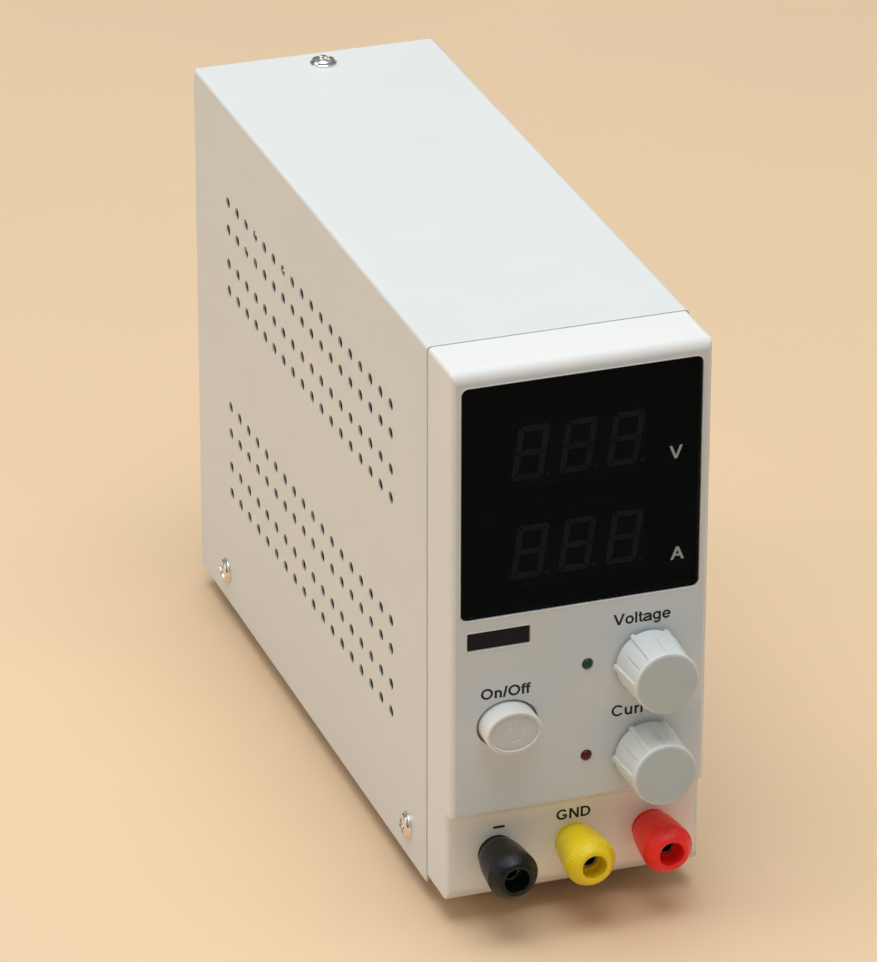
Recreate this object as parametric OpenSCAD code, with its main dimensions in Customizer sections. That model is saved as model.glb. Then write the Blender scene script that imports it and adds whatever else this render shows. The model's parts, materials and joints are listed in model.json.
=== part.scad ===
// Bench power supply: folded steel case, moulded front bezel, rear fan and mains inlet.
// X runs across, Y runs from the front (-Y) to the rear (+Y), Z is up.
// The feet stand on z = 0, and the depth from knobs to fuse drawer is centred on y = 0.

/* [Case] */
// Width across the sheet-metal cover
case_w = 73.5; // [72:0.5:80]
// Height of the cover, without the feet
case_h = 160; // [158:1:164]
// Depth of the cover from the bezel seam to the rear edge
case_d = 205.5; // [200:0.5:220]
// Thickness of the cover sheet
cover_t = 0.6; // [0.5:0.1:1]
// Thickness of the chassis sheet
sheet = 1.0; // [0.8:0.1:1.2]
// Outer bend radius along the top edges of the cover
bend_r = 1.2; // [1:0.1:2.4]
// Height of the rubber feet below the cover
foot_h = 6; // [4:0.5:10]

/* [Front bezel] */
// Depth of the moulded bezel in front of the seam
bezel_d = 18.7; // [18:0.1:20]
// Wall thickness of the bezel moulding
bezel_wall = 2.6; // [2.2:0.1:3]
// How far the terminal strip sits behind the upper panel
strip_back = 3; // [2:0.5:4]
// Height of the step between strip and upper panel
strip_top = 28.7; // [27:0.1:30]

/* [Display] */
// Side of the square display window
window_w = 67.2; // [64:0.1:68]
// Height of the display window's centre
window_z = 121.45; // [120:0.05:123]
// Character height of the seven-segment digits
digit_h = 14.6; // [13:0.1:16]

/* [Controls] */
// Sideways place of both knobs from the middle
knob_x = 19.4; // [18:0.1:21]
// Height of the voltage knob's axis
volt_z = 67.8; // [66:0.1:69]
// Height of the current knob's axis
curr_z = 40.1; // [39:0.1:41]
// Diameter of a knob at its base
knob_base_d = 19.2; // [18:0.1:20]
// Diameter of a knob at its face
knob_face_d = 18; // [17:0.1:18.5]
// How far a knob stands out of the panel
knob_out = 15.2; // [14:0.1:16]
// How far the power button stands out when released
button_out = 6.1; // [5:0.1:6.5]

/* [Binding posts] */
// Distance between neighbouring binding posts
post_pitch = 22.2; // [20:0.1:23]
// Height of the posts above the cover's lower edge
post_z = 14.8; // [14:0.1:16]
// How far the closed cap stands out of the strip
cap_out = 16.8; // [15:0.1:17]
// Largest diameter of a cap
cap_d = 14.2; // [12:0.1:14.5]
// Diameter of the plug socket in each post
socket_d = 4.0; // [4:0.1:4.1]

/* [Ventilation] */
// Diameter of a side vent hole
vent_d = 3.5; // [2.5:0.1:3.8]
// Distance between vent columns
vent_pitch = 8.5; // [8:0.1:8.6]
// Number of vent columns
vent_cols = 18; // [10:1:18]

/* [Fan] */
// Side of the square fan frame
fan_side = 60; // [60:1:60]
// Number of fan blades
fan_blades = 7; // [5:1:9]

/* [Hidden] */
$fn = 48;

// Places below are in the case frame: y = 0 at the bezel seam, z = 0 at the cover's lower edge
rear_y = case_d - 0.5;           // outer face of the rear wall
drawer_out = 4;                  // how far the fuse drawer's lip stands out of it
seam_y = (bezel_d + knob_out - rear_y - drawer_out)/2;
front_y = -bezel_d;              // front face of the upper panel
strip_y = front_y + strip_back;  // front face of the terminal strip
cover_in = case_w/2 - cover_t;   // inner face of the cover's sides
front_wall_y = 0.3;              // front face of the chassis
sides = [-1, 1];

// Screw places
side_screw_y = [15.5, 180];
side_screw_z = 9.5;
top_screw_y = case_d - 8.4;
bezel_screw_x = [-30.5, 30.5];
bezel_screw_z = [82, 154];
under_x = [-26, 26];             // feet and standoffs
foot_y = [22, 184];
standoff_y = [28, 174];
fan_screw_at = [-25, 25];        // from the fan's axis, in x and z
inlet_screw_x = [-20, 20];
selector_screw_x = [-14, 14];
hole_r = 1.7;                    // clearance hole of the small screws

// Front controls
button_x = -20.4;
button_z = 55.3;
led_x = 2.25;
led_r = 1.5;
green_led_z = 69.45;
red_led_z = 41.8;
knob_z = [volt_z, curr_z];
shaft_r = 3;
bush_r = 3.5;
post_x = [-post_pitch, 0, post_pitch];
stud_r = 3;
collar_r = 4.1;                  // neck of a collar, through the strip
label_at = [-23, 81.2];

// Boards
board_t = 1.6;
front_board_y = -7;              // front face of the display board
main_board_z = 9.5;              // underside of the main board
board_top = main_board_z + board_t;

// Rear wall
fan_z = 118;
fan_back_y = rear_y - sheet;
fan_front_y = fan_back_y - 15;
fan_bore_r = 28.4;
guard_gap = 0.35;                // from the rear wall to the guard's spokes
guard_wire = 1.4;
inlet_z = 44;
inlet_body_x = 14;               // half width
inlet_body_z = [inlet_z - 17.8, inlet_z + 10.4];
inlet_flange = 2.5;
drawer_x = 11;                   // half width
drawer_z = [inlet_z - 17, inlet_z - 10];
selector_z = 74;
selector_half = [9.5, 4.5];      // half width and half height of the body
selector_flange = 1.2;

// Shared colours
dull_screw = [0.7, 0.7, 0.72];
bright_screw = [0.72, 0.72, 0.74];
board_green = [0.1, 0.35, 0.18];
display_grey = [0.2, 0.2, 0.2];
bright_steel = [0.75, 0.75, 0.77];
knob_grey = [0.85, 0.87, 0.86];
stud_metal = [0.8, 0.78, 0.72];
brass = [0.8, 0.65, 0.3];
can_blue = [0.13, 0.14, 0.2];

// ---- helpers: a range is [low, high] ----
function span(half, middle = 0) = [middle - half, middle + half];
function grow(range, gap) = [range[0] - gap, range[1] + gap];
function size(range) = range[1] - range[0];

module in_case() translate([0, seam_y, foot_h]) children();
module on_board() in_case() translate([0, 0, board_top]) children();
// turn local +Z to the rear or to the front
module facing_rear(x, y, z) translate([x, y, z]) rotate([-90, 0, 0]) children();
module facing_front(x, y, z) translate([x, y, z]) rotate([90, 0, 0]) children();

// extrudes an X-Z outline along Y
module extrude_y(range) facing_front(0, range[1], 0) linear_extrude(size(range)) children();
// extrudes a Y-Z outline along X
module extrude_x(range)
  translate([range[0], 0, 0]) rotate([90, 0, 90]) linear_extrude(size(range)) children();
module cyl_x(y, z, range, r)
  translate([range[0], y, z]) rotate([0, 90, 0]) cylinder(h = size(range), r = r);
module cyl_y(x, z, range, r) facing_rear(x, range[0], z) cylinder(h = size(range), r = r);
module cyl_z(x, y, range, r) translate([x, y, range[0]]) cylinder(h = size(range), r = r);
module box(x, y, z) translate([x[0], y[0], z[0]]) cube([size(x), size(y), size(z)]);

// waste outside a rounded corner at (x, y) whose inside lies towards (to_x, to_y)
module corner_waste(x, y, to_x, to_y, r)
  translate([x, y]) mirror([to_x > 0 ? 0 : 1, 0]) mirror([0, to_y > 0 ? 0 : 1])
    difference() {
      translate([-1, -1]) square(r + 1);
      translate([r, r]) circle(r);
    }
// rectangle with one radius per corner: lower left, lower right, upper right, upper left
module corner_rect(x, y, radii) {
  inward = [[1, 1], [-1, 1], [-1, -1], [1, -1]];
  difference() {
    translate([x[0], y[0]]) square([size(x), size(y)]);
    for (i = [0 : 3]) if (radii[i] > 0) {
      to = inward[i];
      corner_waste(x[to[0] > 0 ? 0 : 1], y[to[1] > 0 ? 0 : 1], to[0], to[1], radii[i]);
    }
  }
}
module rounded_rect(centre, size, r)
  corner_rect(span(size[0]/2, centre[0]), span(size[1]/2, centre[1]), [r, r, r, r]);
// oval with half axes a and b, around the power button's axis
module button_oval(a, b)
  translate([button_x, button_z]) polygon([for (i = [0 : 71]) [a*cos(i*5), b*sin(i*5)]]);

// domed Phillips screw, head above z = 0, shank below
module pan_screw(head_d, head_h, shank_d, length) {
  rise = head_h*0.6;
  dome_r = (head_d*head_d/4 + rise*rise)/(2*rise);
  difference() {
    union() {
      rotate_extrude() intersection() {
        square([head_d/2, head_h]);
        union() {
          translate([0, head_h - dome_r]) circle(dome_r, $fn = 96);
          square([head_d/2, head_h*0.4]);
        }
      }
      translate([0, 0, -length]) cylinder(h = length + 0.1, d = shank_d);
    }
    recess = [head_d*0.58, head_d*0.15, head_h*0.75];
    for (a = [0, 90])
      translate([0, 0, head_h]) rotate(a) translate([-recess[0]/2, -recess[1]/2, -recess[2]])
        cube(recess + [0, 0, 1]);
  }
}
module hex_nut(across_flats, thickness, bore_r) difference() {
  cylinder(h = thickness, r = across_flats/sqrt(3), $fn = 6);
  translate([0, 0, -1]) cylinder(h = thickness + 2, r = bore_r);
}

// ---- enclosure ----
// folded steel cover: top and both sides
module top_cover() color([0.87, 0.88, 0.86]) in_case() difference() {
  first_vent_y = 29.4;
  vent_rows = [130.4, 121.9, 111.2, 102.7, 65.5, 57.0, 46.2, 37.7];
  across = span(case_w/2 + 1);
  screw_r = 2.2;
  inner_r = bend_r - cover_t;
  extrude_y([0, case_d]) difference() {
    corner_rect(span(case_w/2), [0, case_h], [0, 0, bend_r, bend_r]);
    corner_rect(span(cover_in), [-1, case_h - cover_t], [0, 0, inner_r, inner_r]);
  }
  for (i = [0 : vent_cols - 1], z = vent_rows)
    cyl_x(first_vent_y + i*vent_pitch, z, across, vent_d/2);
  for (y = side_screw_y) cyl_x(y, side_screw_z, across, screw_r);
  cyl_z(0, top_screw_y, [case_h - 5, case_h + 1], screw_r);
}

// folded steel chassis: floor with side flanges, front wall and rear wall with a top flange
module chassis() color([0.72, 0.73, 0.73]) in_case() difference() {
  side_x = cover_in - 0.1;
  base_z = 0.5;
  rear_top = case_h - cover_t - 0.2;
  length = [front_wall_y, rear_y];
  front_cut = [-1, 3];
  floor_cut = [-1, 3];
  rear_cut = [rear_y - 3, rear_y + 1];
  screw_r = 2.0;
  union() {
    box(span(side_x), length, [base_z, base_z + sheet]);
    for (s = sides) box(span(sheet/2, s*(side_x - sheet/2)), length, [base_z, 17]);
    box(span(side_x), [front_wall_y, front_wall_y + sheet], [base_z, case_h - cover_t - 0.6]);
    extrude_y([rear_y - sheet, rear_y])
      corner_rect(span(side_x), [base_z, rear_top], [0, 0, 0.6, 0.6]);
    box(span(26), [rear_y - 15, rear_y], [rear_top - sheet, rear_top]);
  }
  for (y = side_screw_y) cyl_x(y, side_screw_z, span(case_w/2), screw_r);
  cyl_z(0, top_screw_y, [case_h - 8, case_h], screw_r);
  for (x = under_x, y = concat(foot_y, standoff_y)) cyl_z(x, y, floor_cut, hole_r);
  // front wall: openings for the front electronics and harness, holes for the bezel screws
  box(span(27), front_cut, [90, 150]);
  box(span(30), front_cut, [7, 78]);
  for (x = bezel_screw_x, z = bezel_screw_z) cyl_y(x, z, front_cut, hole_r);
  // rear wall: fan window, mains inlet, selector
  cyl_y(0, fan_z, rear_cut, 28.5);
  for (x = fan_screw_at, z = fan_screw_at) cyl_y(x, fan_z + z, rear_cut, 2.2);
  box(span(inlet_body_x + 0.2), rear_cut, grow(inlet_body_z, 0.2));
  for (x = inlet_screw_x) cyl_y(x, inlet_z, rear_cut, hole_r);
  box(span(selector_half[0] + 0.2), rear_cut, span(selector_half[1] + 0.2, selector_z));
  for (x = selector_screw_x) cyl_y(x, selector_z, rear_cut, hole_r);
  // exhaust slots in the floor
  for (i = [0 : 5], x = [-14, 14]) box(span(8, x), [62 + i*14, 65 + i*14], floor_cut);
}

bezel_w = case_w - 0.6;
bezel_z = [0.8, case_h - 0.2];
bezel_back_y = -0.08;
// block with rounded upright front edges, front_y to the seam
module bezel_block(z, front, top_r, bottom_r) intersection() {
  depth = [front, bezel_back_y];
  translate([0, 0, z[0] - 1]) linear_extrude(size(z) + 2)
    corner_rect(span(bezel_w/2), depth, [1.8, 1.8, 0, 0]);
  extrude_x(span(bezel_w/2 + 1)) corner_rect(depth, z, [bottom_r, 0, 0, top_r]);
  extrude_y([front - 1, 1]) corner_rect(span(bezel_w/2), bezel_z, [2, 2, 1.3, 1.3]);
}
// moulded front bezel with its stepped terminal strip
module front_bezel() color([0.93, 0.93, 0.91]) in_case() difference() {
  inside_x = span(bezel_w/2 - 2.2);
  end_wall = 2.4;
  panel_cut = [front_y - 1, front_y + 4];
  union() {
    difference() {
      union() {
        bezel_block([strip_top, bezel_z[1]], front_y, top_r = 3.5, bottom_r = 0.7);
        bezel_block([bezel_z[0], strip_top + 2], strip_y, top_r = 0, bottom_r = 5);
      }
      box(inside_x, [front_y + bezel_wall, 1], [strip_top + bezel_wall, bezel_z[1] - end_wall]);
      box(inside_x, [strip_y + bezel_wall, 1],
        [bezel_z[0] + end_wall, strip_top + bezel_wall + 1]);
    }
    // screw bosses at the back
    for (x = bezel_screw_x, z = bezel_screw_z) cyl_y(x, z, [front_y + 1.5, bezel_back_y], 3.2);
  }
  for (x = bezel_screw_x, z = bezel_screw_z) cyl_y(x, z, [-12, 1], 1.3);
  // window pocket and opening
  extrude_y([front_y - 1, front_y + 1.6])
    rounded_rect([0, window_z], [window_w + 0.3, window_w + 0.4], 2);
  extrude_y([front_y, front_y + 4]) rounded_rect([0, window_z], [58, 62], 1.5);
  // label pocket
  extrude_y([front_y - 1, front_y + 0.8]) rounded_rect(label_at, [17.8, 5.3], 0.4);
  for (z = [green_led_z, red_led_z]) cyl_y(led_x, z, panel_cut, led_r + 0.1);
  extrude_y(panel_cut) button_oval(8.7, 7.1);
  for (z = knob_z) cyl_y(knob_x, z, panel_cut, bush_r + 0.15);
  for (x = post_x) cyl_y(x, post_z, [strip_y - 1, strip_y + 4], collar_r);
}
module display_window() color([0.05, 0.05, 0.06, 0.6]) in_case()
  extrude_y([front_y + 0.5, front_y + 1.6])
    rounded_rect([0, window_z], [window_w - 0.1, window_w], 1.8);
module label_plate() color([0.07, 0.07, 0.08]) in_case()
  extrude_y([front_y + 0.45, front_y + 0.8]) rounded_rect(label_at, [17.4, 4.95], 0.3);

// five cover screws: two on each side and one on top
module cover_screw(length) pan_screw(head_d = 8, head_h = 1.9, shank_d = 3.9, length = length);
module cover_screws() color([0.78, 0.78, 0.8]) in_case() {
  for (y = side_screw_y, s = sides)
    translate([s*case_w/2, y, side_screw_z]) rotate([0, s*90, 0]) cover_screw(5.2);
  translate([0, top_screw_y, case_h]) rotate([0, 0, 30]) cover_screw(7);
}
module bezel_screws() color(dull_screw) in_case()
  for (x = bezel_screw_x, z = bezel_screw_z) facing_rear(x, front_wall_y + sheet, z)
    pan_screw(head_d = 5.6, head_h = 1.8, shank_d = 2.5, length = 9);

foot_seat = 3.2;                 // height of the screw seat inside a foot
module rubber_feet() color([0.08, 0.08, 0.08]) in_case()
  for (x = under_x, y = foot_y) translate([x, y, -foot_h]) difference() {
    top = foot_h + 0.5;
    rotate_extrude() polygon([[0, 0], [5.6, 0], [6, 0.4], [7, top], [0, top]]);
    translate([0, 0, -1]) cylinder(h = foot_h + 3, r = 1.8);
    translate([0, 0, -1]) cylinder(h = foot_seat + 1, r = 3.6);
  }
module foot_screws() color(dull_screw) in_case()
  for (x = under_x, y = foot_y) translate([x, y, foot_seat - foot_h]) rotate([180, 0, 0])
    pan_screw(head_d = 6, head_h = 1.9, shank_d = 3.2, length = foot_h + 2);

// ---- front electronics ----
module display_board() color(board_green) in_case() difference() {
  box(span(32), [front_board_y, front_board_y + board_t], [86.5, 156]);
  for (x = bezel_screw_x)
    cyl_y(x, bezel_screw_z[1], [front_board_y - 1, front_board_y + 3], 3.4);
}

// three-digit seven-segment module: housing with shallow segment recesses
module digit_display(middle_z) {
  middle_x = -0.2;
  digit_pitch = 13.35;
  width = digit_h*0.53;
  bar = 1.7;                     // width of a segment
  slant = 0.14;
  tip_gap = 0.3;                 // gap at the ends of an upright segment
  face_y = front_y + 3.2;
  function lean(x, y) = [x + slant*y, y];
  difference() {
    box(span(20.4, middle_x), [face_y, front_board_y], span(9.6, middle_z));
    for (i = [-1 : 1]) facing_front(i*digit_pitch + middle_x, face_y, middle_z)
      translate([0, 0, -0.4]) linear_extrude(1) {
        for (i = [-1, 0, 1])
          translate(lean(0, i*(digit_h - bar)/2)) square([width - 2*bar, bar], center = true);
        for (s = sides, up = sides) {
          x = span(bar/2, s*(width - bar)/2);
          near = up*(bar/2 + tip_gap);
          far = up*(digit_h/2 - tip_gap);
          polygon([lean(x[0], near), lean(x[1], near), lean(x[1], far), lean(x[0], far)]);
        }
        // decimal point
        translate([width/2 + 1.5 - slant*digit_h/2, 0.9 - digit_h/2]) circle(0.9, $fn = 24);
      }
  }
}
module voltage_display() color(display_grey) in_case() digit_display(132.9);
module current_display() color(display_grey) in_case() digit_display(104);
module control_board() color(board_green) in_case() difference() {
  board_y = front_board_y + 2;
  box(span(32), [board_y, board_y + board_t], [30, 78]);
  box(span(8.5, button_x), [front_board_y, front_board_y + 5], span(8.5, button_z));
}

// round-nosed LED with a rim and two leads
module led(z) {
  nose_y = front_y + 0.6;
  base_y = front_board_y - 4;
  cyl_y(led_x, z, [nose_y, base_y], led_r);
  intersection() {
    translate([led_x, nose_y, z]) sphere(led_r);
    cyl_y(led_x, z, [front_y - 2, nose_y + 0.1], 3);
  }
  cyl_y(led_x, z, span(0.6, base_y), 1.9);
  for (s = sides) cyl_y(led_x + s*1.27, z, [base_y + 0.5, front_board_y + 2], 0.25);
}
module green_led() color([0.05, 0.25, 0.15]) in_case() led(green_led_z);
module red_led() color([0.3, 0.04, 0.08]) in_case() led(red_led_z);

// rotary potentiometers: can, threaded bush and three bent pins each
module potentiometers() color([0.55, 0.57, 0.58]) in_case() for (z = knob_z) difference() {
  can_y = front_y + bezel_wall;
  pin_end = knob_x - 13.2;
  pin_y = front_board_y - 0.6;
  union() {
    cyl_y(knob_x, z, [can_y, front_board_y + 1.9], 8);
    cyl_y(knob_x, z, [front_y - 4, can_y + 0.1], bush_r);
    for (i = [-1 : 1]) {
      pin_z = span(0.7, z + i*4);
      box([pin_end, knob_x - 6], [pin_y, front_board_y], pin_z);
      box([pin_end, pin_end + 0.6], [pin_y, front_board_y + 2], pin_z);
    }
  }
  cyl_y(knob_x, z, [front_y - 5, front_board_y - 2], shaft_r + 0.05);
}
module pot_nuts() color(bright_steel) in_case()
  for (z = knob_z) facing_front(knob_x, front_y, z) hex_nut(10, 2, bush_r);

flat_up = 1.5;                   // height of the shaft's flat above its axis
module pot_shaft(z) difference() {
  cyl_y(knob_x, z, [front_y - 12.2, front_board_y - 2.3], shaft_r);
  box(span(4, knob_x), [front_y - 13, front_y - 5], [z + flat_up, z + 4]);
}
module voltage_shaft() color(dull_screw) in_case() pot_shaft(volt_z);
module current_shaft() color(dull_screw) in_case() pot_shaft(curr_z);

// tapered knob with six grip ribs, a hollow back and a flatted shaft socket
module knob(z) facing_front(knob_x, front_y, z) {
  base_r = knob_base_d/2;
  face_r = knob_face_d/2;
  back = 0.8;                    // gap between panel and knob
  // radius, height above the panel
  profile = [
    [0, back], [base_r, back], [face_r + 0.15, knob_out - 1.6],
    [face_r - 0.25, knob_out - 0.9], [face_r - 1, knob_out - 0.35],
    [face_r*0.5, knob_out - 0.08], [0, knob_out]];
  difference() {
    union() {
      rotate_extrude() polygon(profile);
      for (i = [0 : 5])
        rotate(i*60) translate([base_r - 1.6, -0.65, back]) rotate([0, -3.6, 0])
          cube([2.1, 1.3, knob_out - 3.2]);
    }
    // ring-shaped hollow around the socket, and the wider mouth at the back
    difference() {
      translate([0, 0, -0.1]) cylinder(h = 10.1, r = 7.3);
      cylinder(h = 20, r = 4.6);
    }
    translate([0, 0, -0.1]) cylinder(h = 4.7, r = 6.6);
    // shaft socket
    difference() {
      translate([0, 0, -1]) cylinder(h = 13.3, r = shaft_r);
      translate([-4, flat_up, 5]) cube([8, 4, 20]);
    }
  }
}
module voltage_knob() color(knob_grey) in_case() knob(volt_z);
module current_knob() color(knob_grey) in_case() knob(curr_z);

// ---- power switch ----
plunger_y = front_board_y - 9.2;
plunger_r = 2;
module button_cyl(y, r) cyl_y(button_x, button_z, y, r);
module power_switch() color([0.12, 0.12, 0.13]) in_case() difference() {
  back_y = front_board_y + 14;
  union() {
    box(span(7, button_x), [front_board_y - 0.5, back_y], span(7, button_z));
    button_cyl([front_board_y - 2, front_board_y], 3.6);
    for (x = [-3, 3], z = [-3, 3])
      box(span(0.4, button_x + x), [back_y - 0.1, back_y + 4], span(1, button_z + z));
  }
  button_cyl([front_board_y - 3, front_board_y + 11], plunger_r + 0.05);
}
// return spring around the plunger, as four rings
module switch_spring() color(bright_steel) in_case()
  for (i = [0 : 3]) facing_front(button_x, front_board_y - 6.2 + i*1.15, button_z)
    rotate_extrude() translate([2.75, 0]) circle(0.3, $fn = 16);
module switch_plunger() color([0.9, 0.9, 0.88]) in_case()
  button_cyl([plunger_y, front_board_y + 5], plunger_r);
// oval push button with a shallow dished face
module power_button() color([0.9, 0.9, 0.87]) in_case() difference() {
  face_y = front_y - button_out;
  back_y = front_y + 4.6;
  union() {
    extrude_y([face_y + 0.8, back_y]) button_oval(8, 6.45);
    extrude_y([face_y, face_y + 0.9]) button_oval(7.7, 6.15);
    // flange that keeps it in
    extrude_y([front_y + 2.8, back_y]) button_oval(8.9, 7.3);
  }
  extrude_y([face_y - 1, face_y + 0.4]) button_oval(6.5, 5.0);
  // hollow back around the plunger socket
  difference() {
    extrude_y([face_y + 2.2, front_y + 6]) button_oval(6.8, 5.3);
    button_cyl([front_y - 10, 0], 3.4);
  }
  button_cyl([plunger_y, front_board_y], plunger_r);
}

// ---- binding posts ----
module post_cyl(x, from, to, r) cyl_y(x, post_z, [strip_y + from, strip_y + to], r);
// metal studs with a blind plug socket and a cross hole for bare wire
module post_studs() color(stud_metal) in_case() for (x = post_x) difference() {
  union() {
    post_cyl(x, -7.9, 14, stud_r);
    post_cyl(x, -11.4, -7.8, 2.55);
  }
  post_cyl(x, -12, 4.5, socket_d/2);
  cyl_z(x, strip_y - 2.1, span(5, post_z), 0.9);
}
// nuts with washers, behind the strip
module post_nuts() color(stud_metal) in_case() for (x = post_x)
  facing_rear(x, strip_y + bezel_wall + 0.6, post_z) {
    hex_nut(9.6, 2.6, stud_r);
    difference() {
      translate([0, 0, -0.5]) cylinder(h = 0.5, r = 5.2);
      translate([0, 0, -1]) cylinder(h = 2, r = stud_r);
    }
  }
// shouldered insulating collar seated in the strip
module collar(x) difference() {
  union() {
    post_cyl(x, -0.9, 0, 5.3);
    post_cyl(x, -0.1, bezel_wall, collar_r);
  }
  post_cyl(x, -2, 5, stud_r);
}
module black_collar() color([0.1, 0.1, 0.11]) in_case() collar(post_x[0]);
module yellow_collar() color([0.9, 0.78, 0.05]) in_case() collar(post_x[1]);
module red_collar() color([0.85, 0.08, 0.06]) in_case() collar(post_x[2]);

// brass insert of a cap
insert_r = 4;
module insert(x) difference() {
  post_cyl(x, -8, -2.4, insert_r);
  post_cyl(x, -10, 0, stud_r + 0.05);
}
module black_insert() color(brass) in_case() insert(post_x[0]);
module yellow_insert() color(brass) in_case() insert(post_x[1]);
module red_insert() color(brass) in_case() insert(post_x[2]);

// barrel-shaped screw-down cap with a wide mouth
module cap(x) facing_front(x, strip_y, post_z) difference() {
  r = cap_d/2;
  // radius, distance from the strip
  profile = [
    [0, 1], [5.2, 1], [5.5, 1.4], [r - 0.9, 4], [r - 0.5, 7], [r - 0.2, 10], [r, 12.6],
    [r, 13.6], [r - 0.3, 14.1], [r - 2.2, cap_out - 0.3], [r - 2.6, cap_out], [0, cap_out]];
  rotate_extrude() polygon(profile);
  cylinder(h = cap_out + 1, r = 2.65);
  cylinder(h = 2.4, r = 3.25);
  translate([0, 0, 2.35]) cylinder(h = 5.7, r = insert_r + 0.05);
  translate([0, 0, 11.7]) cylinder(h = cap_out, r = 3.5);
}
module black_cap() color([0.08, 0.08, 0.09]) in_case() cap(post_x[0]);
module yellow_cap() color([0.92, 0.8, 0.05]) in_case() cap(post_x[1]);
module red_cap() color([0.9, 0.1, 0.07]) in_case() cap(post_x[2]);

// ---- fan ----
diagonals = [45 : 90 : 359];
// square frame with a hub on four diagonal struts
module fan_frame() color([0.1, 0.1, 0.1]) in_case() difference() {
  through = [fan_front_y - 1, fan_back_y + 1];
  hub_t = 2.4;
  union() {
    difference() {
      extrude_y([fan_front_y, fan_back_y]) rounded_rect([0, fan_z], [fan_side, fan_side], 3);
      cyl_y(0, fan_z, through, fan_bore_r);
    }
    cyl_y(0, fan_z, [fan_front_y, fan_front_y + hub_t], 13);
    for (a = diagonals)
      translate([0, fan_front_y, fan_z]) rotate([0, a, 0]) translate([12, 0, -1.6])
        cube([17.2, hub_t, 3.2]);
    cyl_y(0, fan_z, [fan_front_y + 2, fan_front_y + 9], 3.2);
  }
  cyl_y(0, fan_z, [fan_front_y + 1.2, fan_front_y + 10], 1.55);
  for (x = fan_screw_at, z = fan_screw_at) cyl_y(x, fan_z + z, through, 2.05);
}
// cup-shaped hub, axle and pitched blades
module fan_rotor() color([0.12, 0.12, 0.12]) in_case() facing_rear(0, fan_front_y, fan_z) {
  difference() {
    translate([0, 0, 3]) cylinder(h = 11.2, r = 12.6);
    translate([0, 0, 2]) cylinder(h = 10, r = 11.4);
  }
  translate([0, 0, 1.6]) cylinder(h = 11, r = 1.5);
  for (i = [0 : fan_blades - 1]) intersection() {
    rotate(i*360/fan_blades) translate([11.9, 0, 8.4]) rotate([38, 0, 0])
      translate([0, -8, -0.6]) cube([20, 16, 1.2]);
    difference() {
      translate([0, 0, 3.2]) cylinder(h = 10.6, r = 27.4);
      cylinder(h = 20, r = 12);
    }
  }
}
// guard: rings on four radial spokes that end in eyes under the fan screws
module fan_guard() color([0.8, 0.8, 0.82]) in_case() facing_rear(0, rear_y, fan_z) difference() {
  eye_at = 35.36;
  ring_half = 0.75;
  union() {
    for (r = [7, 12.5, 18, 23.5, 29]) difference() {
      translate([0, 0, 1.2]) cylinder(h = guard_wire, r = r + ring_half);
      cylinder(h = 4, r = r - ring_half);
    }
    for (a = diagonals) rotate(a) {
      translate([6.8, -guard_wire/2, guard_gap]) cube([26.4, guard_wire, guard_wire]);
      translate([eye_at, 0, guard_gap]) cylinder(h = guard_wire, r = 3.9);
    }
  }
  for (a = diagonals) rotate(a) translate([eye_at, 0, -1]) cylinder(h = 5, r = 2.2);
}
module fan_screws() color(bright_screw) in_case()
  for (x = fan_screw_at, z = fan_screw_at)
    facing_rear(x, rear_y + guard_gap + guard_wire, fan_z + z)
      pan_screw(head_d = 7, head_h = 2.1, shank_d = 4, length = 12);

// ---- rear connectors ----
// box whose y range is measured from the rear wall's outer face
module rear_box(x, y, z) box(x, [rear_y + y[0], rear_y + y[1]], z);

// plug recess: rectangle with its upper corners cut off
module inlet_outline() translate([0, inlet_z]) difference() {
  translate([-12.2, -8.2]) square([24.4, 16.4]);
  for (s = sides) polygon([[s*12.3, 8.3], [s*12.3, 3.2], [s*7.2, 8.3]]);
}
// two lower blades and one upper blade, to the given ends behind the rear wall
module inlet_blades(lower_end, upper_end) {
  for (x = [-7, 7]) rear_box(span(2, x), [-17, lower_end], span(1, inlet_z - 2));
  rear_box(span(2), [-17, upper_end], span(1, inlet_z + 2));
}
// appliance inlet with a flange, a keyed recess and a fuse drawer slot below it
module mains_inlet() color([0.08, 0.08, 0.09]) in_case() difference() {
  union() {
    extrude_y([rear_y, rear_y + inlet_flange])
      corner_rect(span(25), [inlet_z - 20.5, inlet_z + 12], [3, 3, 3, 3]);
    rear_box(span(inlet_body_x), [-20, 0.1], inlet_body_z);
    for (x = [-7, 0, 7]) rear_box(span(2.4, x), [-27, -19.9], span(0.4, inlet_z));
  }
  extrude_y([rear_y - 15.5, rear_y + 3]) inlet_outline();
  rear_box(span(drawer_x + 0.1), [-18.1, 3], grow(drawer_z, 0.1));
  for (x = inlet_screw_x) cyl_y(x, inlet_z, [rear_y - 1, rear_y + 4], hole_r);
  inlet_blades(0, 0);
}
module inlet_pins() color([0.8, 0.8, 0.78]) in_case() inlet_blades(-1, 0.5);
// open-topped drawer with a notched lip
module fuse_drawer() color([0.1, 0.1, 0.11]) in_case() difference() {
  union() {
    rear_box(span(drawer_x), [-18, 2.6], drawer_z);
    extrude_y([rear_y + 2.6, rear_y + drawer_out])
      rounded_rect([0, inlet_z - 13.5], [24, 8.6], 1);
  }
  rear_box(span(10), [-16.5, 1.4], [inlet_z - 15.9, inlet_z - 9]);
  rear_box(span(3.5), [3.2, 5], [inlet_z - 18, inlet_z - 16.4]);
}
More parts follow.
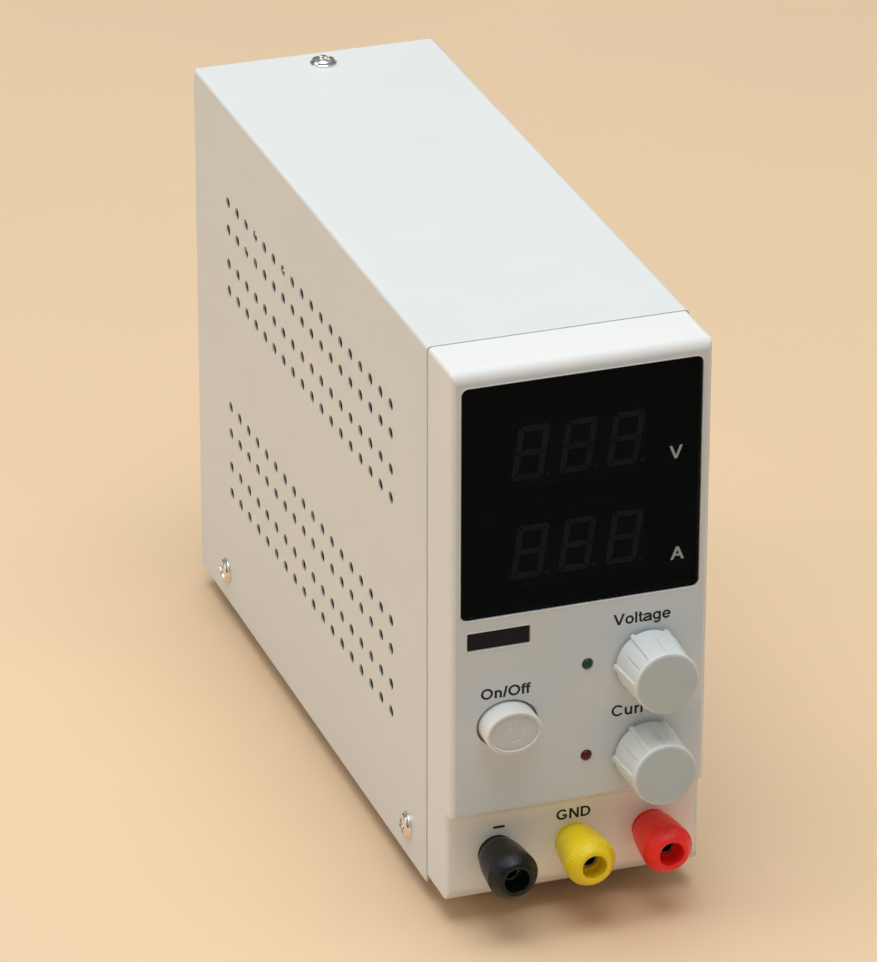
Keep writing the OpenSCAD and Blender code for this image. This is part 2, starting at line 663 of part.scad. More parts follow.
// glass fuse with end caps, lying across the drawer
module fuse() color([0.85, 0.88, 0.88]) in_case() {
  y = rear_y - 8;
  z = inlet_z - 13.3;
  cyl_x(y, z, span(10), 2.3);
  for (s = sides) cyl_x(y, z, span(2.5, s*7.5), 2.6);
}
module rear_screw(x, flange, z) facing_rear(x, rear_y + flange, z)
  pan_screw(head_d = 5.4, head_h = 1.4, shank_d = 3, length = 7);
module rear_screws() color(bright_screw) in_case() {
  for (x = inlet_screw_x) rear_screw(x, inlet_flange, inlet_z);
  for (x = selector_screw_x) rear_screw(x, selector_flange, selector_z);
}
// line-voltage selector: recessed slide switch with a flange
module voltage_selector() color([0.15, 0.15, 0.16]) in_case() difference() {
  union() {
    extrude_y([rear_y, rear_y + selector_flange]) rounded_rect([0, selector_z], [36, 13], 2);
    rear_box(span(selector_half[0]), [-10, 0.1], span(selector_half[1], selector_z));
    for (x = [-5, 0, 5]) rear_box(span(0.8, x), [-14, -9.9], span(0.3, selector_z));
  }
  rear_box(span(7.6), [-6, 3], span(3.6, selector_z));
  for (x = selector_screw_x) cyl_y(x, selector_z, [rear_y - 1, rear_y + 3], hole_r);
}
module selector_slider() color([0.75, 0.08, 0.06]) in_case() difference() {
  middle_x = -2.5;
  rear_box(span(5, middle_x), [-5.9, -0.2], span(3.5, selector_z));
  rear_box(span(0.8, middle_x), [-1.6, 1], span(4, selector_z));
}

// ---- power electronics ----
module main_board() color([0.12, 0.38, 0.2]) in_case() difference() {
  box(span(31), [16, 186], [main_board_z, board_top]);
  for (x = under_x, y = standoff_y) cyl_z(x, y, [main_board_z - 1, main_board_z + 3], hole_r);
}
module board_standoffs() color([0.8, 0.68, 0.35]) in_case()
  for (x = under_x, y = standoff_y) difference() {
    foot_z = 1.5;
    translate([x, y, foot_z]) cylinder(h = main_board_z - foot_z, r = 3.2, $fn = 6);
    cyl_z(x, y, [0, main_board_z + 1], 1.4);
  }
module board_screws() color(bright_screw) on_board()
  for (x = under_x, y = standoff_y) translate([x, y, 0])
    pan_screw(head_d = 5.6, head_h = 1.8, shank_d = 2.7, length = 6);
// core with two windows, and the winding around its middle limb
module transformer() color([0.25, 0.24, 0.22]) on_board() translate([4, 98, 0]) {
  core_y = span(10);
  core_z = [0, 40];
  difference() {
    box(span(21), core_y, core_z);
    for (s = sides) box(span(5.5, s*11.2), span(11), [5, 35]);
  }
  difference() {
    box(span(16), span(17), [5.3, 34.7]);
    box(span(5.7), core_y, core_z);
    for (s = sides) box(span(2.6, s*18.35), core_y, core_z);
  }
}
// capacitor can with chamfered ends and a groove near its foot
module can(r, h, foot, groove, groove_z, top) rotate_extrude() polygon([
  [0, 0], [r - foot, 0], [r, foot],
  [r, groove_z - groove], [r - groove, groove_z], [r, groove_z + groove],
  [r, h - top], [r - top, h], [0, h]]);
module bulk_capacitors() color(can_blue) on_board() for (x = [-15, 13])
  translate([x, 146, 0]) can(r = 11, h = 45, foot = 0.6, groove = 0.5, groove_z = 3.1, top = 0.6);
module output_capacitors() color(can_blue) on_board() for (x = [-20, -6, 8])
  translate([x, 44, 0]) can(r = 6, h = 30, foot = 0.4, groove = 0.4, groove_z = 2.6, top = 0.5);

heatsink_y = [66, 122];          // front faces
// upright plates with six fins on the rear face
module heatsinks() color([0.7, 0.71, 0.72]) on_board() for (y = heatsink_y) {
  box(span(28), [y, y + 3], [0.2, 62]);
  for (i = [0 : 5]) box(span(28), [y + 2.9, y + 9], [6 + i*10, 8 + i*10]);
}
// three on each heatsink, with three leads each
module power_transistors() color([0.1, 0.1, 0.1]) on_board()
  for (y = heatsink_y, x = [-17, 0, 17]) {
    box(span(5, x), [y - 4.6, y], [14, 29.5]);
    for (i = [-1 : 1]) box(span(0.4, x + i*2.54), [y - 2.9, y - 2.4], [0, 14.1]);
  }
// ring core with 18 turns of wire
module output_inductor() color([0.75, 0.42, 0.15]) on_board()
  translate([20.5, 45, 11.7]) rotate([0, 90, 0]) {
    ring_r = 7.6;
    rotate_extrude() translate([ring_r, 0]) circle(3.2);
    for (a = [0 : 20 : 359]) rotate(a) translate([ring_r, 0, 0]) rotate([90, 0, 0])
      rotate_extrude() translate([3.5, 0]) circle(0.6, $fn = 16);
  }
module line_filter() color([0.85, 0.75, 0.2]) on_board() {
  box([-22, -5], [168, 182], [0, 16]);
  box([-24, -12], [162.5, 167.5], [0, 11.5]);
  box([6, 20], [164, 182], [0, 20]);
}
// one cable from each stud, with a quarter bend down to the main board
module output_cables() color([0.5, 0.1, 0.1]) in_case() for (x = post_x) {
  cable_r = 1.5;
  bend_y = 18;
  cyl_y(x, post_z, [strip_y + 14, bend_y], cable_r);
  translate([x, bend_y, board_top]) rotate([90, 0, 90])
    rotate_extrude(angle = 90) translate([post_z - board_top, 0]) circle(cable_r);
}
// from the display board to the rear, then down to the main board
module ribbon_cable() color([0.6, 0.6, 0.62]) in_case() {
  width = span(10);
  top = 98;
  thick = 0.9;
  rear = 30.6;
  box(width, [-5.3, -4.4], [84, top]);
  box(width, [-4.5, rear], [top - thick, top]);
  box(width, [rear - thick, rear], [board_top, top]);
}

top_cover();
chassis();
front_bezel();
display_window();
label_plate();
cover_screws();
bezel_screws();
rubber_feet();
foot_screws();
display_board();
voltage_display();
current_display();
control_board();
green_led();
red_led();
potentiometers();
pot_nuts();
voltage_shaft();
voltage_knob();
current_shaft();
current_knob();
power_switch();
switch_spring();
switch_plunger();
power_button();
post_studs();
post_nuts();
black_collar();
yellow_collar();
red_collar();
black_insert();
black_cap();
yellow_insert();
yellow_cap();
red_insert();
red_cap();
fan_frame();
fan_rotor();
fan_guard();
fan_screws();
mains_inlet();
inlet_pins();
fuse_drawer();
fuse();
rear_screws();
voltage_selector();
selector_slider();
main_board();
board_standoffs();
board_screws();
transformer();
bulk_capacitors();
output_capacitors();
heatsinks();
power_transistors();
output_inductor();
line_filter();
output_cables();
ribbon_cable();
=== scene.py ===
"""Bench power supply: a painted cover behind a moulded front bezel, with two displays, two knobs,
a power button and three binding posts in front, and a fan, mains inlet and selector at the rear.

The front faces -Y, +X is to the right seen from the front, and +Z is up. The scene is in
metres. Sizes written as plain numbers are in millimetres and are scaled by MM.
"""

import json
import math

import bmesh
import bpy
from mathutils import Matrix, Vector


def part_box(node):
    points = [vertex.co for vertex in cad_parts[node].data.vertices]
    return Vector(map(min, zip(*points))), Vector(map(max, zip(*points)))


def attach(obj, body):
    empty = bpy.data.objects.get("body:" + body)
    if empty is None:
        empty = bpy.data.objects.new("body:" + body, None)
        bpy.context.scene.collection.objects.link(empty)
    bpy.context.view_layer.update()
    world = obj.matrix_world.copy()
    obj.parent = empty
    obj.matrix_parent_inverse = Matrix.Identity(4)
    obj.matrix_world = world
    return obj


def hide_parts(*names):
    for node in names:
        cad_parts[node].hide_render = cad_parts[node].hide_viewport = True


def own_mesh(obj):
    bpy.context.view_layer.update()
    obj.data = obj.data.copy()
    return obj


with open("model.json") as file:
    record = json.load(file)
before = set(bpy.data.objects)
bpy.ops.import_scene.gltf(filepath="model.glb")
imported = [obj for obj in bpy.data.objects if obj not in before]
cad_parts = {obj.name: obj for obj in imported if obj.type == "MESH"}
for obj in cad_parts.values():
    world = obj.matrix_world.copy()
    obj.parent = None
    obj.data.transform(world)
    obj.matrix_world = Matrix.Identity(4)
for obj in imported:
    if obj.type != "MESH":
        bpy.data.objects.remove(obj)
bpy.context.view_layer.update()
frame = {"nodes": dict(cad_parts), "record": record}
MM = 0.001


def centre(node_name):
    low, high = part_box(node_name)
    return (low + high) / 2


# ---------------------------------------------------------------- reference planes
COVER_LO, COVER_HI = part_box("top_cover")
SEAM_Y = COVER_LO.y                        # front edge of the cover
COVER_Z = COVER_LO.z
BASE_Z = COVER_Z / MM
PANEL_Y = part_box("front_bezel")[0].y       # front face of the upper panel
WIN_LO, WIN_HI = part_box("display_window")


# ---------------------------------------------------------------- shader helpers
def empty_tree(block):
    block.use_nodes = True
    block.node_tree.nodes.clear()
    return block.node_tree


def node(tree, kind, inputs=None, **settings):
    """Add a shader node. Each input is either a socket to link or a value to set."""
    made = tree.nodes.new("ShaderNode" + kind)
    for key, value in settings.items():
        setattr(made, key, value)
    for key, value in (inputs or {}).items():
        if isinstance(value, bpy.types.NodeSocket):
            tree.links.new(value, made.inputs[key])
        else:
            made.inputs[key].default_value = value
    return made


def noise(tree, coords, scale, detail=2.0, roughness=0.5):
    return node(tree, "TexNoise", {"Vector": coords, "Scale": scale, "Detail": detail,
                                   "Roughness": roughness}).outputs["Fac"]


def remap(tree, value, onto, span=(0.3, 0.7)):
    """Map the range span of a value onto another range."""
    return node(tree, "MapRange", {"Value": value, "From Min": span[0], "From Max": span[1],
                                   "To Min": onto[0], "To Max": onto[1]}).outputs["Result"]


def mix(tree, factor, a, b, **settings):
    return node(tree, "Mix", {"Factor": factor, "A": a, "B": b} if not settings else {},
                data_type="RGBA").outputs["Result"] if not settings else node(
        tree, "Mix", {"Factor": factor, "A": a, "B": b}, data_type="RGBA",
        **settings).outputs["Result"]


def bumped(tree, height, strength, distance, normal):
    inputs = {"Height": height, "Strength": strength, "Distance": distance}
    if normal is not None:
        inputs["Normal"] = normal
    return node(tree, "Bump", inputs).outputs[0]


def rgba(colour, gain=1.0):
    return [c * gain for c in colour] + [1]


MAT = {}


def material(name, colour, rough=0.45, metallic=0.0, vary=0.04, vary_scale=60.0, grain=2500.0,
             bump=0.15, bump_depth=3e-5, rough_vary=0.06, coat=0.0, bevel=0.0, stretch=None,
             specular=0.5, transmission=0.0, ior=1.46, peel=0.0, subsurface=0.0):
    """A surface with slightly uneven colour and roughness and a fine grain, stored in MAT.

    vary and rough_vary are the spread of colour and roughness. vary_scale and grain are noise
    scales, stretch scales the grain along each axis, peel is the strength of a soft orange peel,
    and bevel is the radius of shaded edges in metres.
    """
    block = bpy.data.materials.new(name)
    tree = empty_tree(block)
    coords = node(tree, "TexCoord").outputs["Object"]
    grain_coords = coords
    if stretch:
        mapping = node(tree, "Mapping", {"Vector": coords, "Scale": stretch})
        grain_coords = mapping.outputs[0]
    blotches = noise(tree, coords, vary_scale, detail=4.0, roughness=0.55)
    darker = [max(0.0, c * (1 - vary)) for c in colour] + [1]
    lighter = [min(1.0, c * (1 + vary)) for c in colour] + [1]
    smears = noise(tree, coords, vary_scale * 2.3, detail=3.0, roughness=0.6)
    rough_range = (max(0.02, rough - rough_vary), min(1, rough + rough_vary))

    normal = None
    if bevel > 0:
        normal = node(tree, "Bevel", {"Radius": bevel}, samples=6).outputs[0]
    if peel > 0:
        ripple = noise(tree, coords, 420.0, detail=2.0, roughness=0.4)
        normal = bumped(tree, ripple, strength=peel, distance=6e-5, normal=normal)
    fine = noise(tree, grain_coords, grain, detail=3.0, roughness=0.6)
    normal = bumped(tree, fine, strength=bump, distance=bump_depth, normal=normal)

    inputs = {
        "Base Color": mix(tree, remap(tree, blotches, onto=(0, 1)), darker, lighter),
        "Roughness": remap(tree, smears, onto=rough_range),
        "Metallic": metallic,
        "Specular IOR Level": specular,
        "IOR": ior,
        "Transmission Weight": transmission,
        "Coat Weight": coat,
        "Coat Roughness": 0.1,
        "Normal": normal,
    }
    if subsurface > 0:
        inputs["Subsurface Weight"] = subsurface
        inputs["Subsurface Scale"] = 0.001
        inputs["Subsurface Radius"] = (1.0, 0.8, 0.6)
    if coat > 0:
        inputs["Coat Normal"] = normal
    shader = node(tree, "BsdfPrincipled", inputs)
    node(tree, "OutputMaterial", {0: shader.outputs[0]})
    MAT[name] = block
    return block


def smoked_acrylic(name, tint, roughness):
    """Dark see-through sheet with a faint polished sheen."""
    block = bpy.data.materials.new(name)
    tree = empty_tree(block)
    coords = node(tree, "TexCoord").outputs["Object"]
    blotches = noise(tree, coords, 30.0, detail=3.0)
    body_colour = mix(tree, blotches, rgba(tint, 0.97), rgba(tint))
    body = node(tree, "BsdfTransparent", {"Color": body_colour})
    smears = noise(tree, coords, 90.0)
    sheen = node(tree, "BsdfGlossy", {
        "Color": (0.55, 0.75, 1.0, 1),
        "Roughness": remap(tree, smears, onto=(roughness, roughness * 1.6)),
    })
    fresnel = node(tree, "Fresnel", {"IOR": 1.17})
    both = node(tree, "MixShader", {0: fresnel.outputs[0], 1: body.outputs[0],
                                    2: sheen.outputs[0]})
    node(tree, "OutputMaterial", {0: both.outputs[0]})
    MAT[name] = block


def paint_front_light_and_shade(name, front, facing=(-0.93, -0.985), low=None, step=None):
    """Paint light and shade into the colour of surfaces that face the front, by multiplying it.

    front is a painted shade tone for the front faces, darker and cooler as they get less light
    than the tops. facing is the range of the normal's Y over which it comes in. With low, a
    painted light tone is used below the height range step, and it darkens just under the step
    as a painted contact shadow.
    """
    tree = MAT[name].node_tree
    colour = tree.nodes["Principled BSDF"].inputs["Base Color"]
    plain = colour.links[0].from_socket
    coords = node(tree, "TexCoord")
    normal = node(tree, "SeparateXYZ", {0: coords.outputs["Normal"]})
    # painted shade: the front faces are made darker and cooler than the material's own colour
    painted_light_and_shade = rgba(front)
    if low is not None:
        # painted light on the strip below the step, with a painted contact shadow just under the
        # step
        height = node(tree, "SeparateXYZ", {0: coords.outputs["Object"]}).outputs["Z"]
        shadow = remap(tree, height, onto=(0.0, 1.0), span=(step[0] - 0.0022, step[0] + 0.0001))
        lower = mix(tree, shadow, rgba(low), rgba(low, 0.62))
        painted_light_and_shade = mix(tree, remap(tree, height, onto=(0.0, 1.0), span=step), lower, painted_light_and_shade)
    with_painted_light_and_shade = mix(tree, 1.0, plain, painted_light_and_shade, blend_type="MULTIPLY")
    facing_front = remap(tree, normal.outputs["Y"], onto=(0.0, 1.0), span=facing)
    tree.links.new(mix(tree, facing_front, plain, with_painted_light_and_shade), colour)


# ---------------------------------------------------------------- materials
# case and controls
material("cover_paint", colour=(0.735, 0.745, 0.725), rough=0.42, vary=0.012, vary_scale=18,
         grain=2600, bump=0.22, bump_depth=2e-5, peel=0.22, rough_vary=0.05, bevel=0.00035,
         specular=0.45)
material("bezel_plastic", colour=(0.80, 0.792, 0.765), rough=0.47, vary=0.012, vary_scale=25,
         grain=4200, bump=0.28, bump_depth=1.6e-5, rough_vary=0.04, bevel=0.0006,
         subsurface=0.04, specular=0.42)
material("knob_plastic", colour=(0.80, 0.83, 0.815), rough=0.42, vary=0.015, vary_scale=70,
         grain=5200, bump=0.2, bump_depth=1.2e-5, rough_vary=0.05, subsurface=0.05,
         specular=0.45)
material("button_plastic", colour=(0.82, 0.82, 0.79), rough=0.38, vary=0.012, vary_scale=80,
         grain=5000, bump=0.14, bump_depth=1.2e-5, rough_vary=0.05, subsurface=0.06,
         specular=0.48)
# painted shade: the knobs' front faces are darker and cooler in colour than their tops
paint_front_light_and_shade("knob_plastic", front=(0.66, 0.72, 0.775), facing=(-0.62, -0.99))
# painted shade on the bezel's front faces above the step; painted light on the strip below it, with
# a painted contact shadow just under the step
paint_front_light_and_shade("bezel_plastic", front=(0.83, 0.91, 1.0), low=(1.15, 1.15, 1.12),
           step=(0.0345, 0.0349))
# painted shade: the button's front face is darker and cooler in colour than its rim
paint_front_light_and_shade("button_plastic", front=(0.74, 0.81, 0.89), facing=(-0.85, -0.995))
smoked_acrylic("window_acrylic", tint=(0.36, 0.36, 0.375), roughness=0.05)
material("label_plastic", colour=(0.008, 0.008, 0.014), vary=0.10, vary_scale=200,
         grain=3500, bump=0.1, bump_depth=1e-5, rough_vary=0.05, specular=0.18)
material("screw_nickel", colour=(0.80, 0.775, 0.74), rough=0.13, metallic=1.0, vary=0.05,
         vary_scale=500, grain=2600, bump=0.12, bump_depth=1.2e-5, rough_vary=0.05)
material("screw_zinc", colour=(0.58, 0.59, 0.60), rough=0.30, metallic=1.0, vary=0.08,
         vary_scale=500, grain=2600, bump_depth=1.5e-5, rough_vary=0.08, bevel=0.0001)
MAT["chassis_steel"] = MAT["cover_paint"]
material("rubber_black", colour=(0.028, 0.028, 0.028), rough=0.78, vary=0.15, vary_scale=200,
         grain=3000, bump=0.5, bump_depth=4e-5, rough_vary=0.08, bevel=0.0003, specular=0.3)

# displays and lamps
material("pcb_green", colour=(0.03, 0.16, 0.07), rough=0.35, vary=0.22, vary_scale=300,
         grain=1500, bump=0.3, rough_vary=0.1)
material("display_plastic", colour=(0.012, 0.012, 0.014), rough=0.7, vary=0.12, vary_scale=300,
         grain=4000, bump=0.2, bump_depth=2e-5, rough_vary=0.08)
material("segment", colour=(0.80, 0.79, 0.80), rough=0.5, vary=0.08, vary_scale=500,
         grain=4000, bump=0.2, bump_depth=1e-5, rough_vary=0.08, subsurface=0.05)
material("segment_dim", colour=(0.30, 0.30, 0.31), rough=0.5, vary=0.08, vary_scale=500,
         grain=4000, bump=0.2, bump_depth=1e-5, rough_vary=0.08)
LED = dict(rough=0.16, vary=0.2, vary_scale=900, grain=3000, bump=0.03, bump_depth=1e-5,
           rough_vary=0.03, specular=0.35)
material("led_green", colour=(0.006, 0.052, 0.028), **LED)
material("led_red", colour=(0.088, 0.004, 0.014), **LED)

# parts behind the panel
material("pot_metal", colour=(0.55, 0.55, 0.56), rough=0.32, metallic=1.0, vary=0.06,
         vary_scale=300, grain=1800, bump=0.2, bump_depth=2e-5, rough_vary=0.08, bevel=0.0002)
material("shaft_steel", colour=(0.60, 0.60, 0.61), rough=0.24, metallic=1.0, vary=0.06,
         vary_scale=300, grain=1800, bump=0.2, bump_depth=2e-5, stretch=(1, 0.05, 1),
         bevel=0.0001)
material("switch_plastic", colour=(0.022, 0.022, 0.024), rough=0.48, vary=0.12, vary_scale=150,
         grain=4200, bump=0.3, bump_depth=2e-5, rough_vary=0.07, bevel=0.0002)
material("spring_steel", colour=(0.62, 0.62, 0.63), rough=0.2, metallic=1.0, vary=0.06,
         bump=0.1, bump_depth=1e-5)

# binding posts
material("post_metal", colour=(0.34, 0.33, 0.31), rough=0.28, metallic=1.0, vary=0.05,
         vary_scale=400, grain=2200, bump=0.12, bump_depth=2e-5, rough_vary=0.07,
         bevel=0.00015)
material("cap_black", colour=(0.004, 0.0046, 0.006), rough=0.32, vary=0.10, vary_scale=150,
         grain=4200, bump=0.2, bump_depth=1.5e-5, rough_vary=0.05, specular=0.36)
material("cap_yellow", colour=(0.93, 0.70, 0.008), rough=0.36, vary=0.035, vary_scale=150,
         grain=4200, bump=0.18, bump_depth=1.5e-5, subsurface=0.06)
material("cap_red", colour=(0.98, 0.022, 0.014), rough=0.36, vary=0.04, vary_scale=150,
         grain=4200, bump=0.18, bump_depth=1.5e-5, subsurface=0.04)
material("insert_brass", colour=(0.72, 0.52, 0.22), rough=0.25, metallic=1.0, vary=0.08,
         vary_scale=300, grain=2000, bump=0.2, bump_depth=2e-5, rough_vary=0.08, bevel=0.0001)

# rear
material("fan_plastic", colour=(0.018, 0.018, 0.02), rough=0.46, vary=0.12, vary_scale=100,
         grain=3800, bump=0.3, bump_depth=2e-5, rough_vary=0.07, bevel=0.0003)
material("guard_chrome", colour=(0.72, 0.72, 0.73), rough=0.14, metallic=1.0,
         vary_scale=250, grain=2000, bump=0.1, bump_depth=1.5e-5, rough_vary=0.05)
material("inlet_plastic", colour=(0.016, 0.016, 0.018), rough=0.42, vary=0.12, vary_scale=120,
         grain=4000, bump=0.28, bump_depth=2e-5, rough_vary=0.07, bevel=0.0004)
material("fuse_glass", colour=(0.85, 0.88, 0.88), rough=0.08, vary=0.03, grain=1500,
         bump=0.04, bump_depth=1e-5, rough_vary=0.03, transmission=0.85, ior=1.5)
material("selector_red", colour=(0.55, 0.02, 0.015), rough=0.4, vary=0.06, vary_scale=200,
         grain=4000, bump=0.2, bump_depth=2e-5, bevel=0.0003)

# circuit board
material("ferrite", colour=(0.055, 0.055, 0.053), rough=0.62, vary=0.2, vary_scale=120,
         grain=1800, bump=0.5, bump_depth=5e-5, rough_vary=0.1, bevel=0.0004)
material("capacitor_sleeve", colour=(0.012, 0.014, 0.035), rough=0.28, vary=0.12,
         vary_scale=90, grain=1500, bump=0.12, coat=0.3)
material("heatsink_aluminium", colour=(0.55, 0.56, 0.57), rough=0.34, metallic=1.0, vary=0.06,
         vary_scale=80, grain=1500, bump=0.3, rough_vary=0.08, stretch=(0.04, 1, 1),
         bevel=0.0003)
material("transistor_epoxy", colour=(0.02, 0.02, 0.02), rough=0.5, vary=0.12, grain=4000,
         bump=0.3, bump_depth=2e-5, bevel=0.0002)
material("copper_winding", colour=(0.60, 0.24, 0.08), rough=0.25, metallic=1.0, vary=0.12,
         vary_scale=400, grain=2000, bump_depth=2e-5, coat=0.4)
material("filter_plastic", colour=(0.62, 0.42, 0.05), rough=0.32, vary=0.05, grain=3000,
         bump=0.2, bump_depth=2e-5, bevel=0.0005)
material("cable_pvc", colour=(0.30, 0.025, 0.02), rough=0.4, vary=0.08, grain=3000, bump=0.2,
         bump_depth=2e-5)
material("ribbon_grey", colour=(0.33, 0.33, 0.34), rough=0.5, vary=0.05, grain=1200, bump=0.4,
         bump_depth=4e-5, stretch=(1, 0.02, 0.02))

# printing
material("print_dark", colour=(0.008, 0.008, 0.011), rough=0.55, vary=0.12, vary_scale=600,
         grain=5000, bump=0.2, bump_depth=1e-5)
material("mask_black", colour=(0.004, 0.004, 0.005), rough=0.8, vary=0.2, vary_scale=200,
         grain=3000, bump=0.1, bump_depth=1e-5, specular=0.05)
material("print_pale", colour=(0.36, 0.385, 0.41), rough=0.55, vary=0.06, vary_scale=600,
         grain=5000, bump=0.2, bump_depth=1e-5)

SLOTS = {s["node"]: s["material_slot"] for s in frame["record"]["subparts"]}
for node_name, cad_object in frame["nodes"].items():
    cad_object.data.materials.clear()
    cad_object.data.materials.append(MAT[SLOTS[node_name]])

# ---------------------------------------------------------------- mesh helpers
# for each side of the case: two directions across it, then the direction out of it
AXES = {
    "front": (Vector((1, 0, 0)), Vector((0, 0, 1)), Vector((0, -1, 0))),
    "back": (Vector((-1, 0, 0)), Vector((0, 0, 1)), Vector((0, 1, 0))),
    "left": (Vector((0, -1, 0)), Vector((0, 0, 1)), Vector((-1, 0, 0))),
    "right": (Vector((0, 1, 0)), Vector((0, 0, 1)), Vector((1, 0, 0))),
    "top": (Vector((1, 0, 0)), Vector((0, 1, 0)), Vector((0, 0, 1))),
}


def point(origin, side, u, v, out):
    """Point at u and v across a side and out from it, in mm from the origin."""
    across, along, outward = AXES[side]
    return origin + across * (u * MM) + along * (v * MM) + outward * (out * MM)


def polar(origin, side, angle, radius, out):
    across, along, outward = AXES[side]
    direction = across * math.cos(angle) + along * math.sin(angle)
    return origin + direction * (radius * MM) + outward * (out * MM)


def add_mesh(name, data, mat, body="case", sharp=40.0, smooth=True, merge=True,
             replaced=None):
    """Object from (verts, faces) riding on a body. sharp is the edge angle kept hard, in
    degrees, and replaced is the CAD piece it stands in for."""
    verts, faces = data
    mesh = bpy.data.meshes.new(name)
    mesh.from_pydata([tuple(v) for v in verts], [], faces)
    mesh.validate()
    bm = bmesh.new()
    bm.from_mesh(mesh)
    if merge:
        bmesh.ops.remove_doubles(bm, verts=bm.verts, dist=1e-7)
    bmesh.ops.recalc_face_normals(bm, faces=bm.faces)
    bm.to_mesh(mesh)
    bm.free()
    mesh.update()
    for polygon in mesh.polygons:
        polygon.use_smooth = smooth
    if smooth:
        mesh.set_sharp_from_angle(angle=math.radians(sharp))
    made = bpy.data.objects.new(name, mesh)
    bpy.context.scene.collection.objects.link(made)
    mesh.materials.append(mat)
    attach(made, body)
    if replaced:
        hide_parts(replaced)
    return made


def circle(n):
    return [2 * math.pi * i / n for i in range(n)]


def smoothstep(a, b, x):
    t = max(0.0, min(1.0, (x - a) / (b - a)))
    return t * t * (3 - 2 * t)


def angle_between(a, b):
    return (a - b + math.pi) % (2 * math.pi) - math.pi


def rounded(corners, steps):
    """Open line through (x, y, corner radius), with its corners turned into arcs."""
    points = []
    for i, (x, y, radius) in enumerate(corners):
        if radius <= 0 or i in (0, len(corners) - 1):
            points.append((x, y))
            continue
        back = Vector((corners[i - 1][0] - x, corners[i - 1][1] - y))
        ahead = Vector((corners[i + 1][0] - x, corners[i + 1][1] - y))
        back_length, ahead_length = back.length, ahead.length
        back.normalize()
        ahead.normalize()
        corner = math.acos(max(-1, min(1, back.dot(ahead))))
        if corner > math.pi - 0.02:
            points.append((x, y))
            continue
        # the arc takes at most half of either side
        trim = min(radius / math.tan(corner / 2), back_length * 0.49, ahead_length * 0.49)
        fitted = trim * math.tan(corner / 2)
        middle = Vector((x, y)) + (back + ahead).normalized() * (fitted / math.sin(corner / 2))
        start = Vector((x, y)) + back * trim - middle
        end = Vector((x, y)) + ahead * trim - middle
        first = math.atan2(start.y, start.x)
        sweep = angle_between(math.atan2(end.y, end.x), first)
        for k in range(steps + 1):
            a = first + sweep * k / steps
            points.append((middle.x + fitted * math.cos(a), middle.y + fitted * math.sin(a)))
    return points


def band(a, b):
    """Faces between two rings of vertex numbers. A ring of one vertex is a pole."""
    n = max(len(a), len(b))
    faces = []
    for j in range(n):
        k = (j + 1) % n
        if len(a) == 1:
            faces.append((a[0], b[k], b[j]))
        elif len(b) == 1:
            faces.append((a[j], a[k], b[0]))
        else:
            faces.append((a[j], a[k], b[k], b[j]))
    return faces


def loft(rings, closed=False):
    """Skin through rings of points; closed joins the last ring to the first."""
    verts, numbers, faces = [], [], []
    for ring in rings:
        numbers.append(range(len(verts), len(verts) + len(ring)))
        verts += ring
    following = numbers[1:] + (numbers[:1] if closed else [])
    for a, b in zip(numbers, following):
        faces += band(a, b)
    return verts, faces


def revolve(profile, origin, side, angles, shape=None, closed=False):
    """Turn a profile of (radius, out) about an axis; shape(angle, radius, out) alters radii."""
    rings = []
    for radius, out in profile:
        if radius < 1e-6:
            rings.append([point(origin, side, 0, 0, out)])
            continue
        rings.append([polar(origin, side, a, shape(a, radius, out) if shape else radius, out)
                      for a in angles])
    return loft(rings, closed)


def join(parts):
    verts, faces = [], []
    for part_verts, part_faces in parts:
        first = len(verts)
        verts += part_verts
        faces += [tuple(i + first for i in face) for face in part_faces]
    return verts, faces


def box(low, high, radius=0.0):
    """Box between two corners in metres, with all edges rounded if a radius is given."""
    bm = bmesh.new()
    bmesh.ops.create_cube(bm, size=1.0)
    for v in bm.verts:
        v.co = Vector([(a + b) / 2 + c * (b - a) for a, b, c in zip(low, high, v.co)])
    if radius > 0:
        bmesh.ops.bevel(bm, geom=list(bm.edges), offset=radius, segments=2, profile=0.5,
                        affect="EDGES", clamp_overlap=True)
    bm.verts.index_update()
    verts = [v.co.copy() for v in bm.verts]
    faces = [tuple(v.index for v in f.verts) for f in bm.faces]
    bm.free()
    return verts, faces


def wire(path, radius, sides, closed=False):
    """Round wire along a list of points, in metres."""
    rings = []
    count = len(path)
    u = None
    for i, place in enumerate(path):
        if closed:
            along = (path[(i + 1) % count] - path[i - 1]).normalized()
        else:
            along = (path[min(i + 1, count - 1)] - path[max(i - 1, 0)]).normalized()
        if u is None:
            guide = Vector((0, 0, 1)) if abs(along.z) < 0.9 else Vector((1, 0, 0))
            u = along.cross(guide).normalized()
        else:
            u = (u - along * u.dot(along)).normalized()
        v = along.cross(u)
        rings.append([place + (u * math.cos(a) + v * math.sin(a)) * radius
                      for a in circle(sides)])
    verts, faces = loft(rings, closed)
    if not closed:
        faces.append(tuple(range(sides))[::-1])
        faces.append(tuple(range(len(verts) - sides, len(verts))))
    return verts, faces


# ---------------------------------------------------------------- knobs
KNOB_BACK_R = 9.4
KNOB_FRONT_R = 9.0
KNOB_RIB_R = 10.05                         # top of a rib at the back
KNOB_REACH = (PANEL_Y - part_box("voltage_knob")[0].y) / MM
RIBS = [math.radians(60 * k) for k in range(6)]
GROOVES = [math.radians(30 + 60 * k) for k in range(6)]


def knob_angles():
    """Even angles, packed more closely around each rib and groove."""
    angles = set(round(a, 6) for a in circle(120))
    marks = [(a, 0.096, 26) for a in RIBS] + [(a, 0.046, 14) for a in GROOVES]
    for middle, half, steps in marks:
        angles = {a for a in angles if abs(angle_between(a, middle)) > half}
        for k in range(steps + 1):
            angles.add(round((middle - half + 2 * half * k / steps) % (2 * math.pi), 6))
    return sorted(angles)


